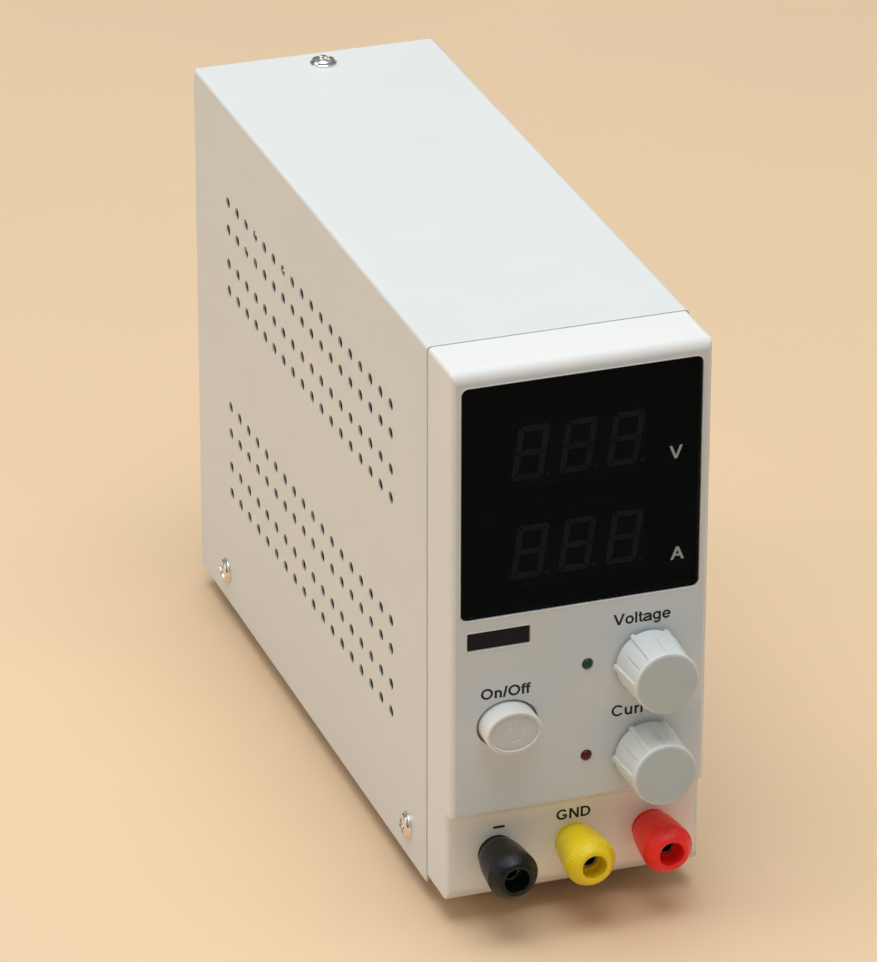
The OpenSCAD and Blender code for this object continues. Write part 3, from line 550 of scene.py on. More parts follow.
def knob_profile():
    front, reach = KNOB_FRONT_R, KNOB_REACH
    outline = rounded([
        # radius, out from the panel, corner radius
        (6.9, 4.6, 0), (6.9, 0.85, 0.35), (KNOB_BACK_R, 0.85, 0.4),
        (front - 0.38, reach - 2.1, 0.3), (front - 0.02, reach - 1.75, 0.35),
        (front, reach - 0.9, 0.4), (front - 0.22, reach - 0.36, 0.45),
        (front - 0.85, reach - 0.09, 0.5), (front * 0.5, reach - 0.03, 0)], steps=6)
    profile = [(0, 4.6)]
    for (r, w), (r2, w2) in zip(outline, outline[1:]):
        profile.append((r, w))
        if abs(w2 - w) > 2 and r > 8:      # extra rings along the skirt
            profile += [(r + (r2 - r) * k / 25, w + (w2 - w) * k / 25) for k in range(1, 25)]
    return profile + [outline[-1], (front * 0.25, reach - 0.01), (0, reach)]


def knob_shape(angle, radius, out):
    """Raised ribs that die into the front ring, with shallow grooves between them."""
    if radius < 8.0 or out > KNOB_REACH - 1.0:
        return radius
    shaped = radius
    for rib in RIBS:
        across = abs(angle_between(angle, rib)) * radius
        if across < 0.8 and out > 0.92:
            run = min(1.0, max(0.0, (out - 0.9) / (KNOB_REACH - 2.3)))
            top = KNOB_RIB_R + (KNOB_FRONT_R + 0.02 - KNOB_RIB_R) * run
            rise = 1 - smoothstep(0.56, 0.74, across)
            shaped = max(shaped, radius + max(0.0, top - radius) * rise)
    for groove in GROOVES:
        across = abs(angle_between(angle, groove)) * radius
        if across < 0.40:
            fade_in = smoothstep(3.8, 5.6, out)
            fade_out = 1 - smoothstep(KNOB_REACH - 2.3, KNOB_REACH - 1.9, out)
            cut = 0.45 * (1 - smoothstep(0.16, 0.38, across)) * fade_in * fade_out
            shaped = min(shaped, radius - cut)
    return shaped


def make_knob(name):
    shaft = centre(name.replace("knob", "shaft"))
    origin = Vector((shaft.x, PANEL_Y, shaft.z))
    data = revolve(knob_profile(), origin, "front", knob_angles(), knob_shape)
    add_mesh(name + "_shell", data, MAT["knob_plastic"], name, sharp=42,
             replaced=name)


make_knob("voltage_knob")
make_knob("current_knob")

# ---------------------------------------------------------------- binding post caps
COLOURS = ("black", "yellow", "red")
CAP_R = 7.1
CAP_TEETH = 48
COLLAR_DEPTH = 0.9                         # cap origin behind the collar's front


def cap_profile(length):
    outline = rounded([
        # radius, out, corner radius; up the outside, then back down the bore
        (3.25, 1.02, 0), (5.15, 1.02, 0.25), (5.5, 1.45, 0.6), (CAP_R - 0.9, 4, 4),
        (CAP_R - 0.5, 7, 4), (CAP_R - 0.2, 10, 3), (CAP_R - 0.02, 12.6, 1.5),
        (CAP_R - 0.02, 13.55, 0.5), (CAP_R - 0.32, 14.1, 0.4),
        (CAP_R - 2.2, length - 0.3, 0.6), (CAP_R - 2.62, length - 0.02, 0.3),
        (3.62, length - 0.04, 0.12), (3.5, length - 0.2, 0.05), (3.5, 11.7, 0),
        (2.65, 11.7, 0), (2.65, 8.05, 0), (4.05, 8.05, 0), (4.05, 2.4, 0), (3.25, 2.4, 0)],
        steps=5)
    profile = []
    for (r, w), (r2, w2) in zip(outline, outline[1:]):
        profile.append((r, w))
        # extra rings outside, closest together where the teeth deepen and end
        fine = max(w, w2) > 12.3 and min(w, w2) < 14.3
        if r > 5 and r2 > 5 and abs(w2 - w) > (0.3 if fine else 0.9):
            steps = int(abs(w2 - w) / (0.15 if fine else 0.5))
            profile += [(r + (r2 - r) * k / steps, w + (w2 - w) * k / steps)
                        for k in range(1, steps)]
    return profile + [outline[-1]]


def cap_shape(angle, radius, out):
    """Fine teeth around the cap, deepest at its front rim."""
    if radius < 4.7 or out < 1.6:
        return radius
    fade = (smoothstep(1.8, 4.0, out) * (1 - smoothstep(13.95, 14.25, out))
            * smoothstep(4.6, 5.4, radius))
    depth = 0.03 + 0.30 * smoothstep(13.0, 13.3, out)
    wave = 0.5 + 0.5 * math.cos(angle * CAP_TEETH)
    return radius - depth * (1 - wave ** 0.7) * fade


def make_cap(colour):
    name = colour + "_cap"
    middle = centre(name)
    back_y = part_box(colour + "_collar")[0].y + COLLAR_DEPTH * MM
    origin = Vector((middle.x, back_y, middle.z))
    length = (origin.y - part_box(name)[0].y) / MM
    data = revolve(cap_profile(length), origin, "front", circle(CAP_TEETH * 8), cap_shape,
                   closed=True)
    add_mesh(name + "_shell", data, MAT[name], name, sharp=50, replaced=name) \
        if name in MAT else add_mesh(name + "_shell", data, MAT["cap_" + colour], name,
                                     sharp=50, replaced=name)


for colour in COLOURS:
    make_cap(colour)

# ---------------------------------------------------------------- power button
BUTTON_A, BUTTON_B = 8.0, 6.45             # half width and half height of the oval
FACE_INSET = 1.62                          # from the oval's edge to the inner face
SYMBOL_R = 2.35
SYMBOL_GAP = math.radians(34)              # half the opening at the top of the ring
SYMBOL_END = Vector((SYMBOL_R * math.sin(SYMBOL_GAP), SYMBOL_R * math.cos(SYMBOL_GAP)))


def symbol_depth(u, v):
    """Engraved on/off symbol: an open ring with an upright bar."""
    from_top = abs(angle_between(math.atan2(v, u), math.pi / 2))
    distance = abs(math.hypot(u, v) - SYMBOL_R)
    if from_top < SYMBOL_GAP:
        distance = math.hypot(abs(u) - SYMBOL_END.x, v - SYMBOL_END.y)
    past_end = 0 if 0.9 < v < 3.0 else min(abs(v - 0.9), abs(v - 3.0))
    distance = min(distance, math.hypot(u, past_end))
    return -0.30 * (1 - smoothstep(0.20, 0.42, distance))


def make_button():
    middle = centre("power_button")
    origin = Vector((middle.x, PANEL_Y, middle.z))
    reach = (PANEL_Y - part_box("power_button")[0].y) / MM
    a, b = BUTTON_A, BUTTON_B
    angles = circle(240)
    rings = []

    def ring(half_width, half_height, out, roundness=0.0, radius=0.0, engraved=False):
        """Oval ring, moved towards a circle by roundness."""
        points = []
        for t in angles:
            u, v = half_width * math.cos(t), half_height * math.sin(t)
            if roundness > 0:
                u = u * (1 - roundness) + radius * math.cos(t) * roundness
                v = v * (1 - roundness) + radius * math.sin(t) * roundness
            depth = symbol_depth(u, v) if engraved else 0
            points.append(point(origin, "front", u, v, out + depth))
        rings.append(points)

    # inner wall, back flange and outer wall: (added to a, added to b, out)
    for grow_a, grow_b, out in (
            (-1.2, -1.2, reach - 2.4), (-1.2, -1.2, -4.6), (0.8, 0.75, -4.6), (0.9, 0.85, -4.5),
            (0.9, 0.85, -2.9), (0.8, 0.75, -2.8), (0, 0, -2.8), (0, 0, -1.5), (0, 0, 1),
            (-0.02, -0.02, reach - 0.95)):
        ring(a + grow_a, b + grow_b, out)
    for k in range(1, 9):                  # rounded front edge
        q = math.pi / 2 * k / 8
        inset = 0.75 * (1 - math.cos(q))
        ring(a - 0.02 - inset, b - 0.02 - inset,
             reach - 0.85 + 0.75 * math.sin(q) + 0.1 * math.sin(q))
    # narrow groove around the face: (inset, below the front)
    for inset, below in ((1.12, 0), (1.24, 0.10), (1.33, 0.62), (1.50, 0.66),
                         (FACE_INSET, 0.45)):
        ring(a - inset, b - inset, reach - below)
    face = reach - 0.43
    face_a, face_b = a - FACE_INSET, b - FACE_INSET
    for k, scale in enumerate((0.97, 0.94, 0.90)):
        ring(face_a * scale, face_b * scale, face + 0.012 * k, engraved=True)
    for s in (0.15, 0.4, 0.7, 1.0):        # ovals turn into circles around the symbol
        ring(face_a * 0.88, face_b * 0.88, face + 0.03 + 0.02 * s, roundness=s, radius=3.9,
             engraved=True)
    r = 3.8
    while r > 0.12:                        # rings are closer together over the symbol
        ring(r, r, face + 0.055 + 0.02 * (1 - r / 3.8), engraved=True)
        r -= 0.07 if 1.75 < r < 3.3 else 0.10
    verts, faces = loft(rings + [[point(origin, "front", 0, 0, face + 0.075)]])
    # close the inside behind the face
    faces += band([len(verts)], range(len(angles)))
    verts.append(point(origin, "front", 0, 0, reach - 2.4))
    add_mesh("power_button_cap", (verts, faces), MAT["button_plastic"], "power_button",
             sharp=60, replaced="power_button")


make_button()


# ---------------------------------------------------------------- screws
def screw(origin, side, radius, height, turn, shank, shank_radius):
    """Pan head screw with a cross recess turned by an angle."""
    outline = rounded([
        (radius, 0, 0), (radius, height * 0.28, height * 0.16), (radius * 0.90, height * 0.38, 0.06),
        (radius * 0.82, height * 0.72, radius * 0.12),
        (radius * 0.60, height * 0.93, radius * 0.14), (0, height * 0.985, 0)], steps=8)
    profile = [p for p in outline if p[0] > radius * 0.58]
    crown_r = min(p[0] for p in profile)
    crown_start = [p[1] for p in profile if p[0] == crown_r][0]
    crown_rings = 34
    for i in range(1, crown_rings):
        r = crown_r * (1 - i / crown_rings)
        rise = (height - crown_start) * (1 - (r / crown_r) ** 2)
        profile.append((r, crown_start + rise))
    arm_length, arm_half = radius * 0.56, radius * 0.135

    def recess(u, v):
        p = u * math.cos(turn) + v * math.sin(turn)
        q = -u * math.sin(turn) + v * math.cos(turn)
        depth = 0.0
        for along, across in ((p, q), (q, p)):
            inside = ((1 - smoothstep(arm_half * 0.8, arm_half * 1.25, abs(across)))
                      * (1 - smoothstep(arm_length * 0.9, arm_length * 1.08, abs(along))))
            slope = height * (0.30 + 0.34 * (1 - min(1, abs(along) / arm_length)))
            depth = max(depth, inside * slope)
        return depth

    angles = circle(120)
    rings = []
    for r, out in profile:
        spots = [(r * math.cos(t), r * math.sin(t)) for t in angles]
        rings.append([point(origin, side, u, v, out - recess(u, v)) for u, v in spots])
    verts, faces = loft(rings + [[point(origin, side, 0, 0, height * 0.35)]])
    count = len(angles)
    root = range(len(verts), len(verts) + count)
    tip = range(len(verts) + count, len(verts) + 2 * count)
    for out in (0.0, -shank):
        verts += [polar(origin, side, t, shank_radius, out) for t in angles]
    faces += band(root, range(count)) + band(tip, root)
    faces.append(tuple(reversed(tip)))
    return verts, faces


def cover_screws():
    size = dict(radius=3.9, height=1.85, shank_radius=1.95)
    z = COVER_Z + 9.5 * MM
    screws = []
    # behind the seam, turn of the left screw, turn of the right screw
    for y, left_turn, right_turn in ((15.5, 0.35, 0.9), (180.0, 1.1, 0.2)):
        for x, side, turn in ((COVER_LO.x, "left", left_turn), (COVER_HI.x, "right", right_turn)):
            origin = Vector((x, SEAM_Y + y * MM, z))
            screws.append(screw(origin, side, turn=turn, shank=5.2, **size))
    origin = Vector((0, COVER_HI.y - 8.4 * MM, COVER_HI.z))
    screws.append(screw(origin, "top", turn=0.5, shank=7, **size))
    add_mesh("cover_screw_set", join(screws), MAT["screw_nickel"],
             sharp=50, replaced="cover_screws")


cover_screws()

FAN = centre("fan_guard")
REAR_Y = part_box("mains_inlet")[1].y - 2.5 * MM


def fan_screws():
    screws = []
    for i, (x, z) in enumerate(((-25, -25), (25, -25), (-25, 25), (25, 25))):
        origin = Vector((x * MM, REAR_Y + 1.75 * MM, FAN.z + z * MM))
        screws.append(screw(origin, "back", radius=3.5, height=2.1, turn=0.3 + i * 0.7,
                            shank=12, shank_radius=2.0))
    add_mesh("fan_screw_set", join(screws), MAT["screw_zinc"], sharp=50,
             replaced="fan_screws")


def rear_screws():
    """Two screws beside the mains inlet and two beside the voltage selector."""
    inlet_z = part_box("mains_inlet")[1].z - 12 * MM
    selector_z = centre("voltage_selector").z
    screws = []
    places = ((-20, inlet_z, 2.5), (20, inlet_z, 2.5), (-14, selector_z, 1.2),
              (14, selector_z, 1.2))
    for i, (x, z, out) in enumerate(places):
        origin = Vector((x * MM, REAR_Y + out * MM, z))
        screws.append(screw(origin, "back", radius=2.7, height=1.4, turn=0.5 + i * 0.9,
                            shank=7, shank_radius=1.5))
    add_mesh("rear_screw_set", join(screws), MAT["screw_zinc"], sharp=50,
             replaced="rear_screws")


fan_screws()
rear_screws()

# ---------------------------------------------------------------- seven-segment displays
DIGIT_H, DIGIT_W = 15.4, 8.8
SEGMENT_W = 1.7
SEGMENT_GAP = 0.14
DIGIT_SLANT = 0.14                         # x per unit of z
DIGIT_PITCH = 13.35
DIGIT_SHIFT = 0.3
POINT_R = 0.75


def segment_outlines():
    """The seven bars of an upright digit, as lists of (x, z) about its centre."""
    half_w, half_t, t, gap = DIGIT_W / 2, SEGMENT_W / 2, SEGMENT_W, SEGMENT_GAP
    end_z = DIGIT_H / 2 - half_t

    def end_bar(k):
        outer, inner = k * end_z + k * half_t, k * end_z - k * half_t
        return [(-half_w + gap + 0.2, outer), (half_w - gap - 0.2, outer),
                (half_w - t - gap, inner), (-half_w + t + gap, inner)]

    def upright(k, q):
        """k is -1 at the left and 1 at the right, q is -1 below and 1 above."""
        x = k * (half_w - half_t)
        outer, inner = x + k * half_t, x - k * half_t
        end = q * (end_z + half_t)
        return [(outer, end - q * (gap + 0.2)), (outer, q * (gap + 0.15)),
                (outer - k * t * 0.45, q * gap * 0.6), (inner, q * (gap + t * 0.42)),
                (inner, end - q * (t + gap))]

    tip = half_w - t * 0.5 - gap
    cut = tip - t * 0.42
    middle = [(-tip, 0), (-cut, half_t), (cut, half_t), (tip, 0), (cut, -half_t),
              (-cut, -half_t)]
    uprights = [upright(k, q) for k in (-1, 1) for q in (1, -1)]
    return [end_bar(-1), middle, end_bar(1)] + uprights


def slanted_plate(outline, x, y, z):
    """Thin slanted plate about a digit's centre, just behind the display's front at y."""
    n = len(outline)
    verts = [Vector((x + (u + DIGIT_SLANT * v) * MM, y + depth * MM, z + v * MM))
             for depth in (0.06, 0.5) for u, v in outline]
    faces = [tuple(range(n)), tuple(n + i for i in reversed(range(n)))]
    for i in range(n):
        j = (i + 1) % n
        faces.append((i, n + i, n + j, j))
    return verts, faces


def make_display(name):
    low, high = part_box(name)
    middle = (low + high) / 2
    housing = box((low.x, low.y + 0.1 * MM, low.z), high, radius=0.35 * MM)
    add_mesh(name + "_housing", housing, MAT["display_plastic"],
             replaced=name)
    decimal_point = [(DIGIT_W / 2 + 1.35 + POINT_R * math.cos(a),
                      -DIGIT_H / 2 + 0.8 + POINT_R * math.sin(a)) for a in circle(20)]
    for part, outlines, mat in (("_segments", segment_outlines(), "segment"),
                                ("_points", [decimal_point], "segment_dim")):
        plates = []
        for i in (-1, 0, 1):
            x = middle.x + (i * DIGIT_PITCH + DIGIT_SHIFT) * MM
            plates += [slanted_plate(outline, x, low.y, middle.z) for outline in outlines]
        add_mesh(name + part, join(plates), MAT[mat])


make_display("voltage_display")
make_display("current_display")

# ---------------------------------------------------------------- window and label pockets
def pocket_edge(name, x, z, width, height, radius, depth):
    """Softly rounded moulded edge round a pocket, centred on x and z in mm."""
    # out from the pocket's outline, behind the panel face
    section = [(-0.02, depth), (-0.03, 0.12), (0.0, 0.0), (0.07, -0.09), (0.17, -0.135),
               (0.27, -0.125), (0.36, -0.07), (0.42, 0.03), (0.40, 0.12)]
    rings = []
    for side_x, side_z, start in ((1, 1, 0), (-1, 1, 90), (-1, -1, 180), (1, -1, 270)):
        for k in range(13):
            a = math.radians(start + 90 * k / 12)
            dx, dz = math.cos(a), math.sin(a)
            px = x + side_x * (width / 2 - radius) + radius * dx
            pz = z + side_z * (height / 2 - radius) + radius * dz
            rings.append([Vector(((px + dx * out) * MM, PANEL_Y + behind * MM,
                                  (pz + dz * out) * MM)) for out, behind in section])
    add_mesh(name, loft(rings, closed=True), MAT["bezel_plastic"], sharp=60)


pocket_edge("window_pocket_edge", x=0.0, z=(WIN_LO.z + WIN_HI.z) / 2 / MM,
            width=(WIN_HI.x - WIN_LO.x) / MM + 0.4, height=(WIN_HI.z - WIN_LO.z) / MM + 0.4,
            radius=2.0, depth=0.46)
LABEL_LO, LABEL_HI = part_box("label_plate")
pocket_edge("label_pocket_edge", x=(LABEL_LO.x + LABEL_HI.x) / 2 / MM,
            z=(LABEL_LO.z + LABEL_HI.z) / 2 / MM, width=(LABEL_HI.x - LABEL_LO.x) / MM + 0.4,
            height=(LABEL_HI.z - LABEL_LO.z) / MM + 0.35, radius=0.4, depth=0.42)


def window_print():
    """Black print on the back of the window, with a clear field over each display."""
    front_y, back_y = WIN_HI.y - 0.16 * MM, WIN_HI.y - 0.02 * MM
    margin, lap = 0.2 * MM, 0.3 * MM
    upper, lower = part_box("voltage_display"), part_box("current_display")
    field_left, field_right = upper[0].x + lap, upper[1].x - lap
    left, right = WIN_LO.x + margin, WIN_HI.x - margin
    bottom, top = WIN_LO.z + margin, WIN_HI.z - margin
    bars = [box((x0, front_y, bottom), (x1, back_y, top))
            for x0, x1 in ((left, field_left), (field_right, right))]
    # the cross bars lap the uprights and are a hair thinner, so that no faces coincide
    for z0, z1 in ((bottom, lower[0].z + lap), (lower[1].z - lap, upper[0].z + lap),
                   (upper[1].z - lap, top)):
        bars.append(box((field_left - 0.0001, front_y + 0.00001, z0),
                        (field_right + 0.0001, back_y - 0.00001, z1)))
    add_mesh("window_back_print", join(bars), MAT["mask_black"], smooth=False)


window_print()


# ---------------------------------------------------------------- printed legends
def arc(x, z, radius_x, radius_z, start, end, n):
    angles = [math.radians(start + (end - start) * k / n) for k in range(n + 1)]
    return [(x + radius_x * math.cos(a), z + radius_z * math.sin(a)) for a in angles]


def ribbon(points, width, closed=False):
    """A stroke of even width along points, as quads [(x, z) * 4]."""
    n = len(points)
    left, right = [], []
    for i, p in enumerate(points):
        a = points[(i - 1) % n] if (closed or i > 0) else p
        b = points[(i + 1) % n] if (closed or i < n - 1) else p
        before = Vector((p[0] - a[0], p[1] - a[1]))
        after = Vector((b[0] - p[0], b[1] - p[1]))
        if before.length < 1e-9:
            before = after.copy()
        if after.length < 1e-9:
            after = before.copy()
        before.normalize()
        after.normalize()
        along = before + after
        if along.length < 1e-6:
            along = before.copy()
        along.normalize()
        nx, nz = -along.y, along.x
        reach = width / 2 / max(0.5, nx * -before.y + nz * before.x)
        left.append((p[0] + nx * reach, p[1] + nz * reach))
        right.append((p[0] - nx * reach, p[1] - nz * reach))
    quads = []
    for i in range(n if closed else n - 1):
        j = (i + 1) % n
        quads.append([left[i], left[j], right[j], right[i]])
    return quads


def bar(x0, x1, z0, z1):
    return [[(x0, z0), (x1, z0), (x1, z1), (x0, z1)]]


def slant(x0, x1, z0, x2, x3, z1):
    """Slanted stroke from x0..x1 at z0 to x3..x2 at z1."""
    return [[(x0, z0), (x1, z0), (x2, z1), (x3, z1)]]


def glyphs(t):
    """Grotesque letters in units of the cap height, for a stroke width t.

    Each is (advance, [stroke, ...]), and each stroke is a list of quads.
    """
    h = t / 2
    wide = t * 1.12                        # width of a slanted stroke's end
    apex = (0.465 + t * 0.56, 0.465 - t * 0.56)
    return {
        "V": (0.93, [slant(0.0, wide, 1, *apex, 0), slant(0.93 - wide, 0.93, 1, *apex, 0)]),
        "A": (0.93, [slant(0.0, wide, 0, *apex, 1), slant(0.93 - wide, 0.93, 0, *apex, 1),
                     bar(0.20, 0.73, 0.27, 0.27 + t * 0.9)]),
        "N": (1.0, [bar(0.10, 0.10 + t, 0, 1), bar(0.90 - t, 0.90, 0, 1),
                    slant(0.10, 0.10 + t * 1.15, 1, 0.90, 0.90 - t * 1.15, 0)]),
        "O": (1.08, [ribbon(arc(0.54, 0.5, 0.48 - h, 0.515 - h, 0, 355, 60), t, True)]),
        "C": (1.0, [ribbon(arc(0.53, 0.5, 0.47 - h, 0.515 - h, 36, 324, 48), t)]),
        "G": (1.08, [ribbon(arc(0.535, 0.5, 0.475 - h, 0.515 - h, 38, 308, 48)
                            + [(0.93 - h, 0.21), (0.93 - h, 0.24)], t),
                     bar(0.93 - t, 0.93, 0.14, 0.50), bar(0.56, 0.93, 0.50 - t * 0.95, 0.50)]),
        "D": (1.0, [bar(0.11, 0.11 + t, 0, 1),
                    ribbon([(0.11 + h, 1 - h), (0.42, 1 - h)]
                           + arc(0.46, 0.5, 0.46 - h, 0.5 - h, 88, -88, 36)
                           + [(0.42, h), (0.11 + h, h)], t)]),
        "o": (0.77, [ribbon(arc(0.385, 0.365, 0.345 - h, 0.385 - h, 0, 352, 44), t, True)]),
        "l": (0.31, [bar(0.155 - h, 0.155 + h, 0, 1)]),
        "t": (0.39, [ribbon([(0.19, 0.94), (0.19, 0.20)]
                            + arc(0.19 + 0.135, 0.20, 0.135, 0.20 - h + 0.005, 180, 268, 10)
                            + [(0.385, h + 0.004)], t),
                     bar(0.03, 0.37, 0.73 - t * 0.85, 0.73)]),
        "f": (0.40, [ribbon([(0.19, 0), (0.19, 0.80)]
                            + arc(0.19 + 0.14, 0.81, 0.14, 0.20 - h, 178, 92, 10)
                            + [(0.42, 1.0 - h + 0.008)], t),
                     bar(0.03, 0.39, 0.73 - t * 0.85, 0.73)]),
        "a": (0.77, [ribbon(arc(0.375, 0.50, 0.265, 0.245 - h, 168, 4, 26)
                            + [(0.64, 0.45), (0.64, 0.20), (0.655, 0.09), (0.70, 0.0)], t),
                     ribbon([(0.63, 0.435), (0.46, 0.395), (0.36, 0.375)]
                            + arc(0.30, 0.20, 0.205, 0.205 - h + 0.01, 100, 275, 22)
                            + [(0.42, h), (0.54, 0.12), (0.63, 0.24)], t)]),
        "g": (0.77, [ribbon(arc(0.37, 0.38, 0.335 - h, 0.37 - h, 0, 352, 44), t, True),
                     bar(0.69 - t, 0.69, 0.0, 0.73),
                     ribbon([(0.69 - h, 0.10), (0.69 - h, 0.0)]
                            + arc(0.385, -0.03, 0.305 - h, 0.255 - h, 0, -160, 26), t)]),
        "e": (0.77, [ribbon(arc(0.385, 0.365, 0.345 - h, 0.385 - h, 2, 326, 46), t),
                     bar(0.10, 0.385 + 0.345 - h * 0.3, 0.365 - t * 0.42, 0.365 + t * 0.42)]),
        "u": (0.77, [ribbon([(0.09 + h, 0.73), (0.09 + h, 0.27)]
                            + arc(0.37, 0.27, 0.28 - h, 0.285 - h, 180, 360, 26), t),
                     bar(0.68 - t, 0.68, 0, 0.73)]),
        "r": (0.47, [bar(0.085, 0.085 + t, 0, 0.73),
                     ribbon(arc(0.40, 0.42, 0.315 - h, 0.32 - h, 178, 78, 16), t)]),
        "n": (0.77, [bar(0.09, 0.09 + t, 0, 0.73),
                     ribbon(arc(0.385, 0.46, 0.295 - h, 0.285 - h, 178, 0, 26)
                            + [(0.68 - h, 0.0)], t)]),
        "/": (0.40, [slant(0.0, t * 0.95, -0.02, 0.40, 0.40 - t * 0.95, 1.02)]),
        "+": (0.82, [bar(0.06, 0.76, 0.35 - h, 0.35 + h), bar(0.41 - h, 0.41 + h, 0.0, 0.70)]),
    }


def stroke_slab(quads, place):
    """Slab with front and back faces over the quads and a wall round their outer edges.

    place(x, z, back) gives the position of a point on either face.
    """
    verts, faces, numbers, edges = [], [], {}, {}

    def key(p):
        return round(p[0], 6), round(p[1], 6)

    def number(p, back):
        if (key(p), back) not in numbers:
            numbers[key(p), back] = len(verts)
            verts.append(place(p[0], p[1], back))
        return numbers[key(p), back]

    for corners in quads:
        faces.append(tuple(number(p, False) for p in corners))
        faces.append(tuple(number(p, True) for p in reversed(corners)))
        for k in range(4):
            a, b = corners[k], corners[(k + 1) % 4]
            if (key(b), key(a)) in edges:  # an edge shared by two quads needs no wall
                edges.pop((key(b), key(a)))
            else:
                edges[key(a), key(b)] = (a, b)
    for a, b in edges.values():
        faces.append((number(a, False), number(b, False), number(b, True), number(a, True)))
    return verts, faces


PRINT_DEPTH = 0.03


def legend(name, text, x, z, y, width, height, stroke, track=0.07, mat="print_dark"):
    """Flat text facing the front, centred on x and standing z above the cover's base.

    height is the cap height; stroke and track are in units of it.
    """
    alphabet = glyphs(stroke)
    strokes, pen = [], 0.0
    for letter in text:
        advance, parts = alphabet[letter]
        for quads in parts:
            strokes.append([[(px + pen, pz) for px, pz in corners] for corners in quads])
        pen += advance + track
    xs = [p[0] for quads in strokes for corners in quads for p in corners]
    middle = (min(xs) + max(xs)) / 2
    stretch = width / (max(xs) - min(xs))
    foot = BASE_Z + z
    slabs = []
    for i, quads in enumerate(strokes):
        # overlapping strokes get slightly different depths
        depth = (PRINT_DEPTH - 0.0015 * (i % 3)) * MM

        def place(px, pz, back):
            return Vector(((x + (px - middle) * stretch) * MM, y - (0 if back else depth),
                           (foot + pz * height) * MM))

        slabs.append(stroke_slab(quads, place))
    add_mesh("legend_" + name, join(slabs), MAT[mat], smooth=False, merge=False)


STRIP_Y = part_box("black_collar")[0].y + COLLAR_DEPTH * MM   # face behind the binding posts
legend("voltage", "Voltage", x=17.6, z=79.5, y=PANEL_Y, width=16.4, height=3.3, stroke=0.175,
       track=-0.01)
legend("current", "Current", x=17.7, z=52.1, y=PANEL_Y, width=16.8, height=3.3, stroke=0.175,
       track=-0.01)
legend("on_off", "On/Off", x=-20.9, z=63.55, y=PANEL_Y, width=14.1, height=3.15, stroke=0.19,
       track=-0.03)
legend("ground", "GND", x=-0.1, z=21.45, y=STRIP_Y, width=9.8, height=3.1, stroke=0.185,
       track=-0.06)
legend("plus", "+", x=21.8, z=21.9, y=STRIP_Y, width=2.9, height=3.2, stroke=0.16)
legend("volts", "V", x=26.55, z=126.2, y=WIN_LO.y, width=3.7, height=3.75, stroke=0.165,
       mat="print_pale")
legend("amps", "A", x=27.5, z=96.3, y=WIN_LO.y, width=3.9, height=3.75, stroke=0.165,
       mat="print_pale")


def minus_sign():
    x, half_width = -21.5, 1.65
    low = ((x - half_width) * MM, STRIP_Y - PRINT_DEPTH * MM, (BASE_Z + 22.15) * MM)
    high = ((x + half_width) * MM, STRIP_Y + 0.02 * MM, (BASE_Z + 22.85) * MM)
    add_mesh("legend_minus", box(low, high), MAT["print_dark"], smooth=False)


minus_sign()

# ---------------------------------------------------------------- fan
GUARD_WIRE_R = 0.72 * MM


def upright_circle(middle, radius, n):
    return [middle + Vector((radius * math.cos(a), 0, radius * math.sin(a))) for a in circle(n)]


def fan_guard():
    """Wire rings, with four spokes in front of them that end in screw loops."""
    middle = Vector((FAN.x, REAR_Y + 1.9 * MM, FAN.z))
    parts = [wire(upright_circle(middle, r * MM, 96), GUARD_WIRE_R, 12, closed=True)
             for r in (7, 12.5, 18, 23.5, 29)]
    for degrees in (45, 135, 225, 315):
        outward = Vector((math.cos(math.radians(degrees)), 0, math.sin(math.radians(degrees))))
        spoke = [middle + outward * (r * MM) + Vector((0, -0.85 * MM, 0))
                 for r in (6.4, 30, 31.6)]
        parts.append(wire(spoke, GUARD_WIRE_R, 12))
        eye = middle + outward * (35.36 * MM) + Vector((0, -0.83 * MM, 0))
        parts.append(wire(upright_circle(eye, 3.1 * MM, 48), GUARD_WIRE_R, 12, closed=True))
    add_mesh("fan_guard_wire", join(parts), MAT["guard_chrome"], sharp=60,
             replaced="fan_guard")


fan_guard()

BLADES = 7
BLADE_ROOT_R, BLADE_TIP_R = 12.3, 27.2
SPAN_STEPS, CHORD_STEPS = 14, 12


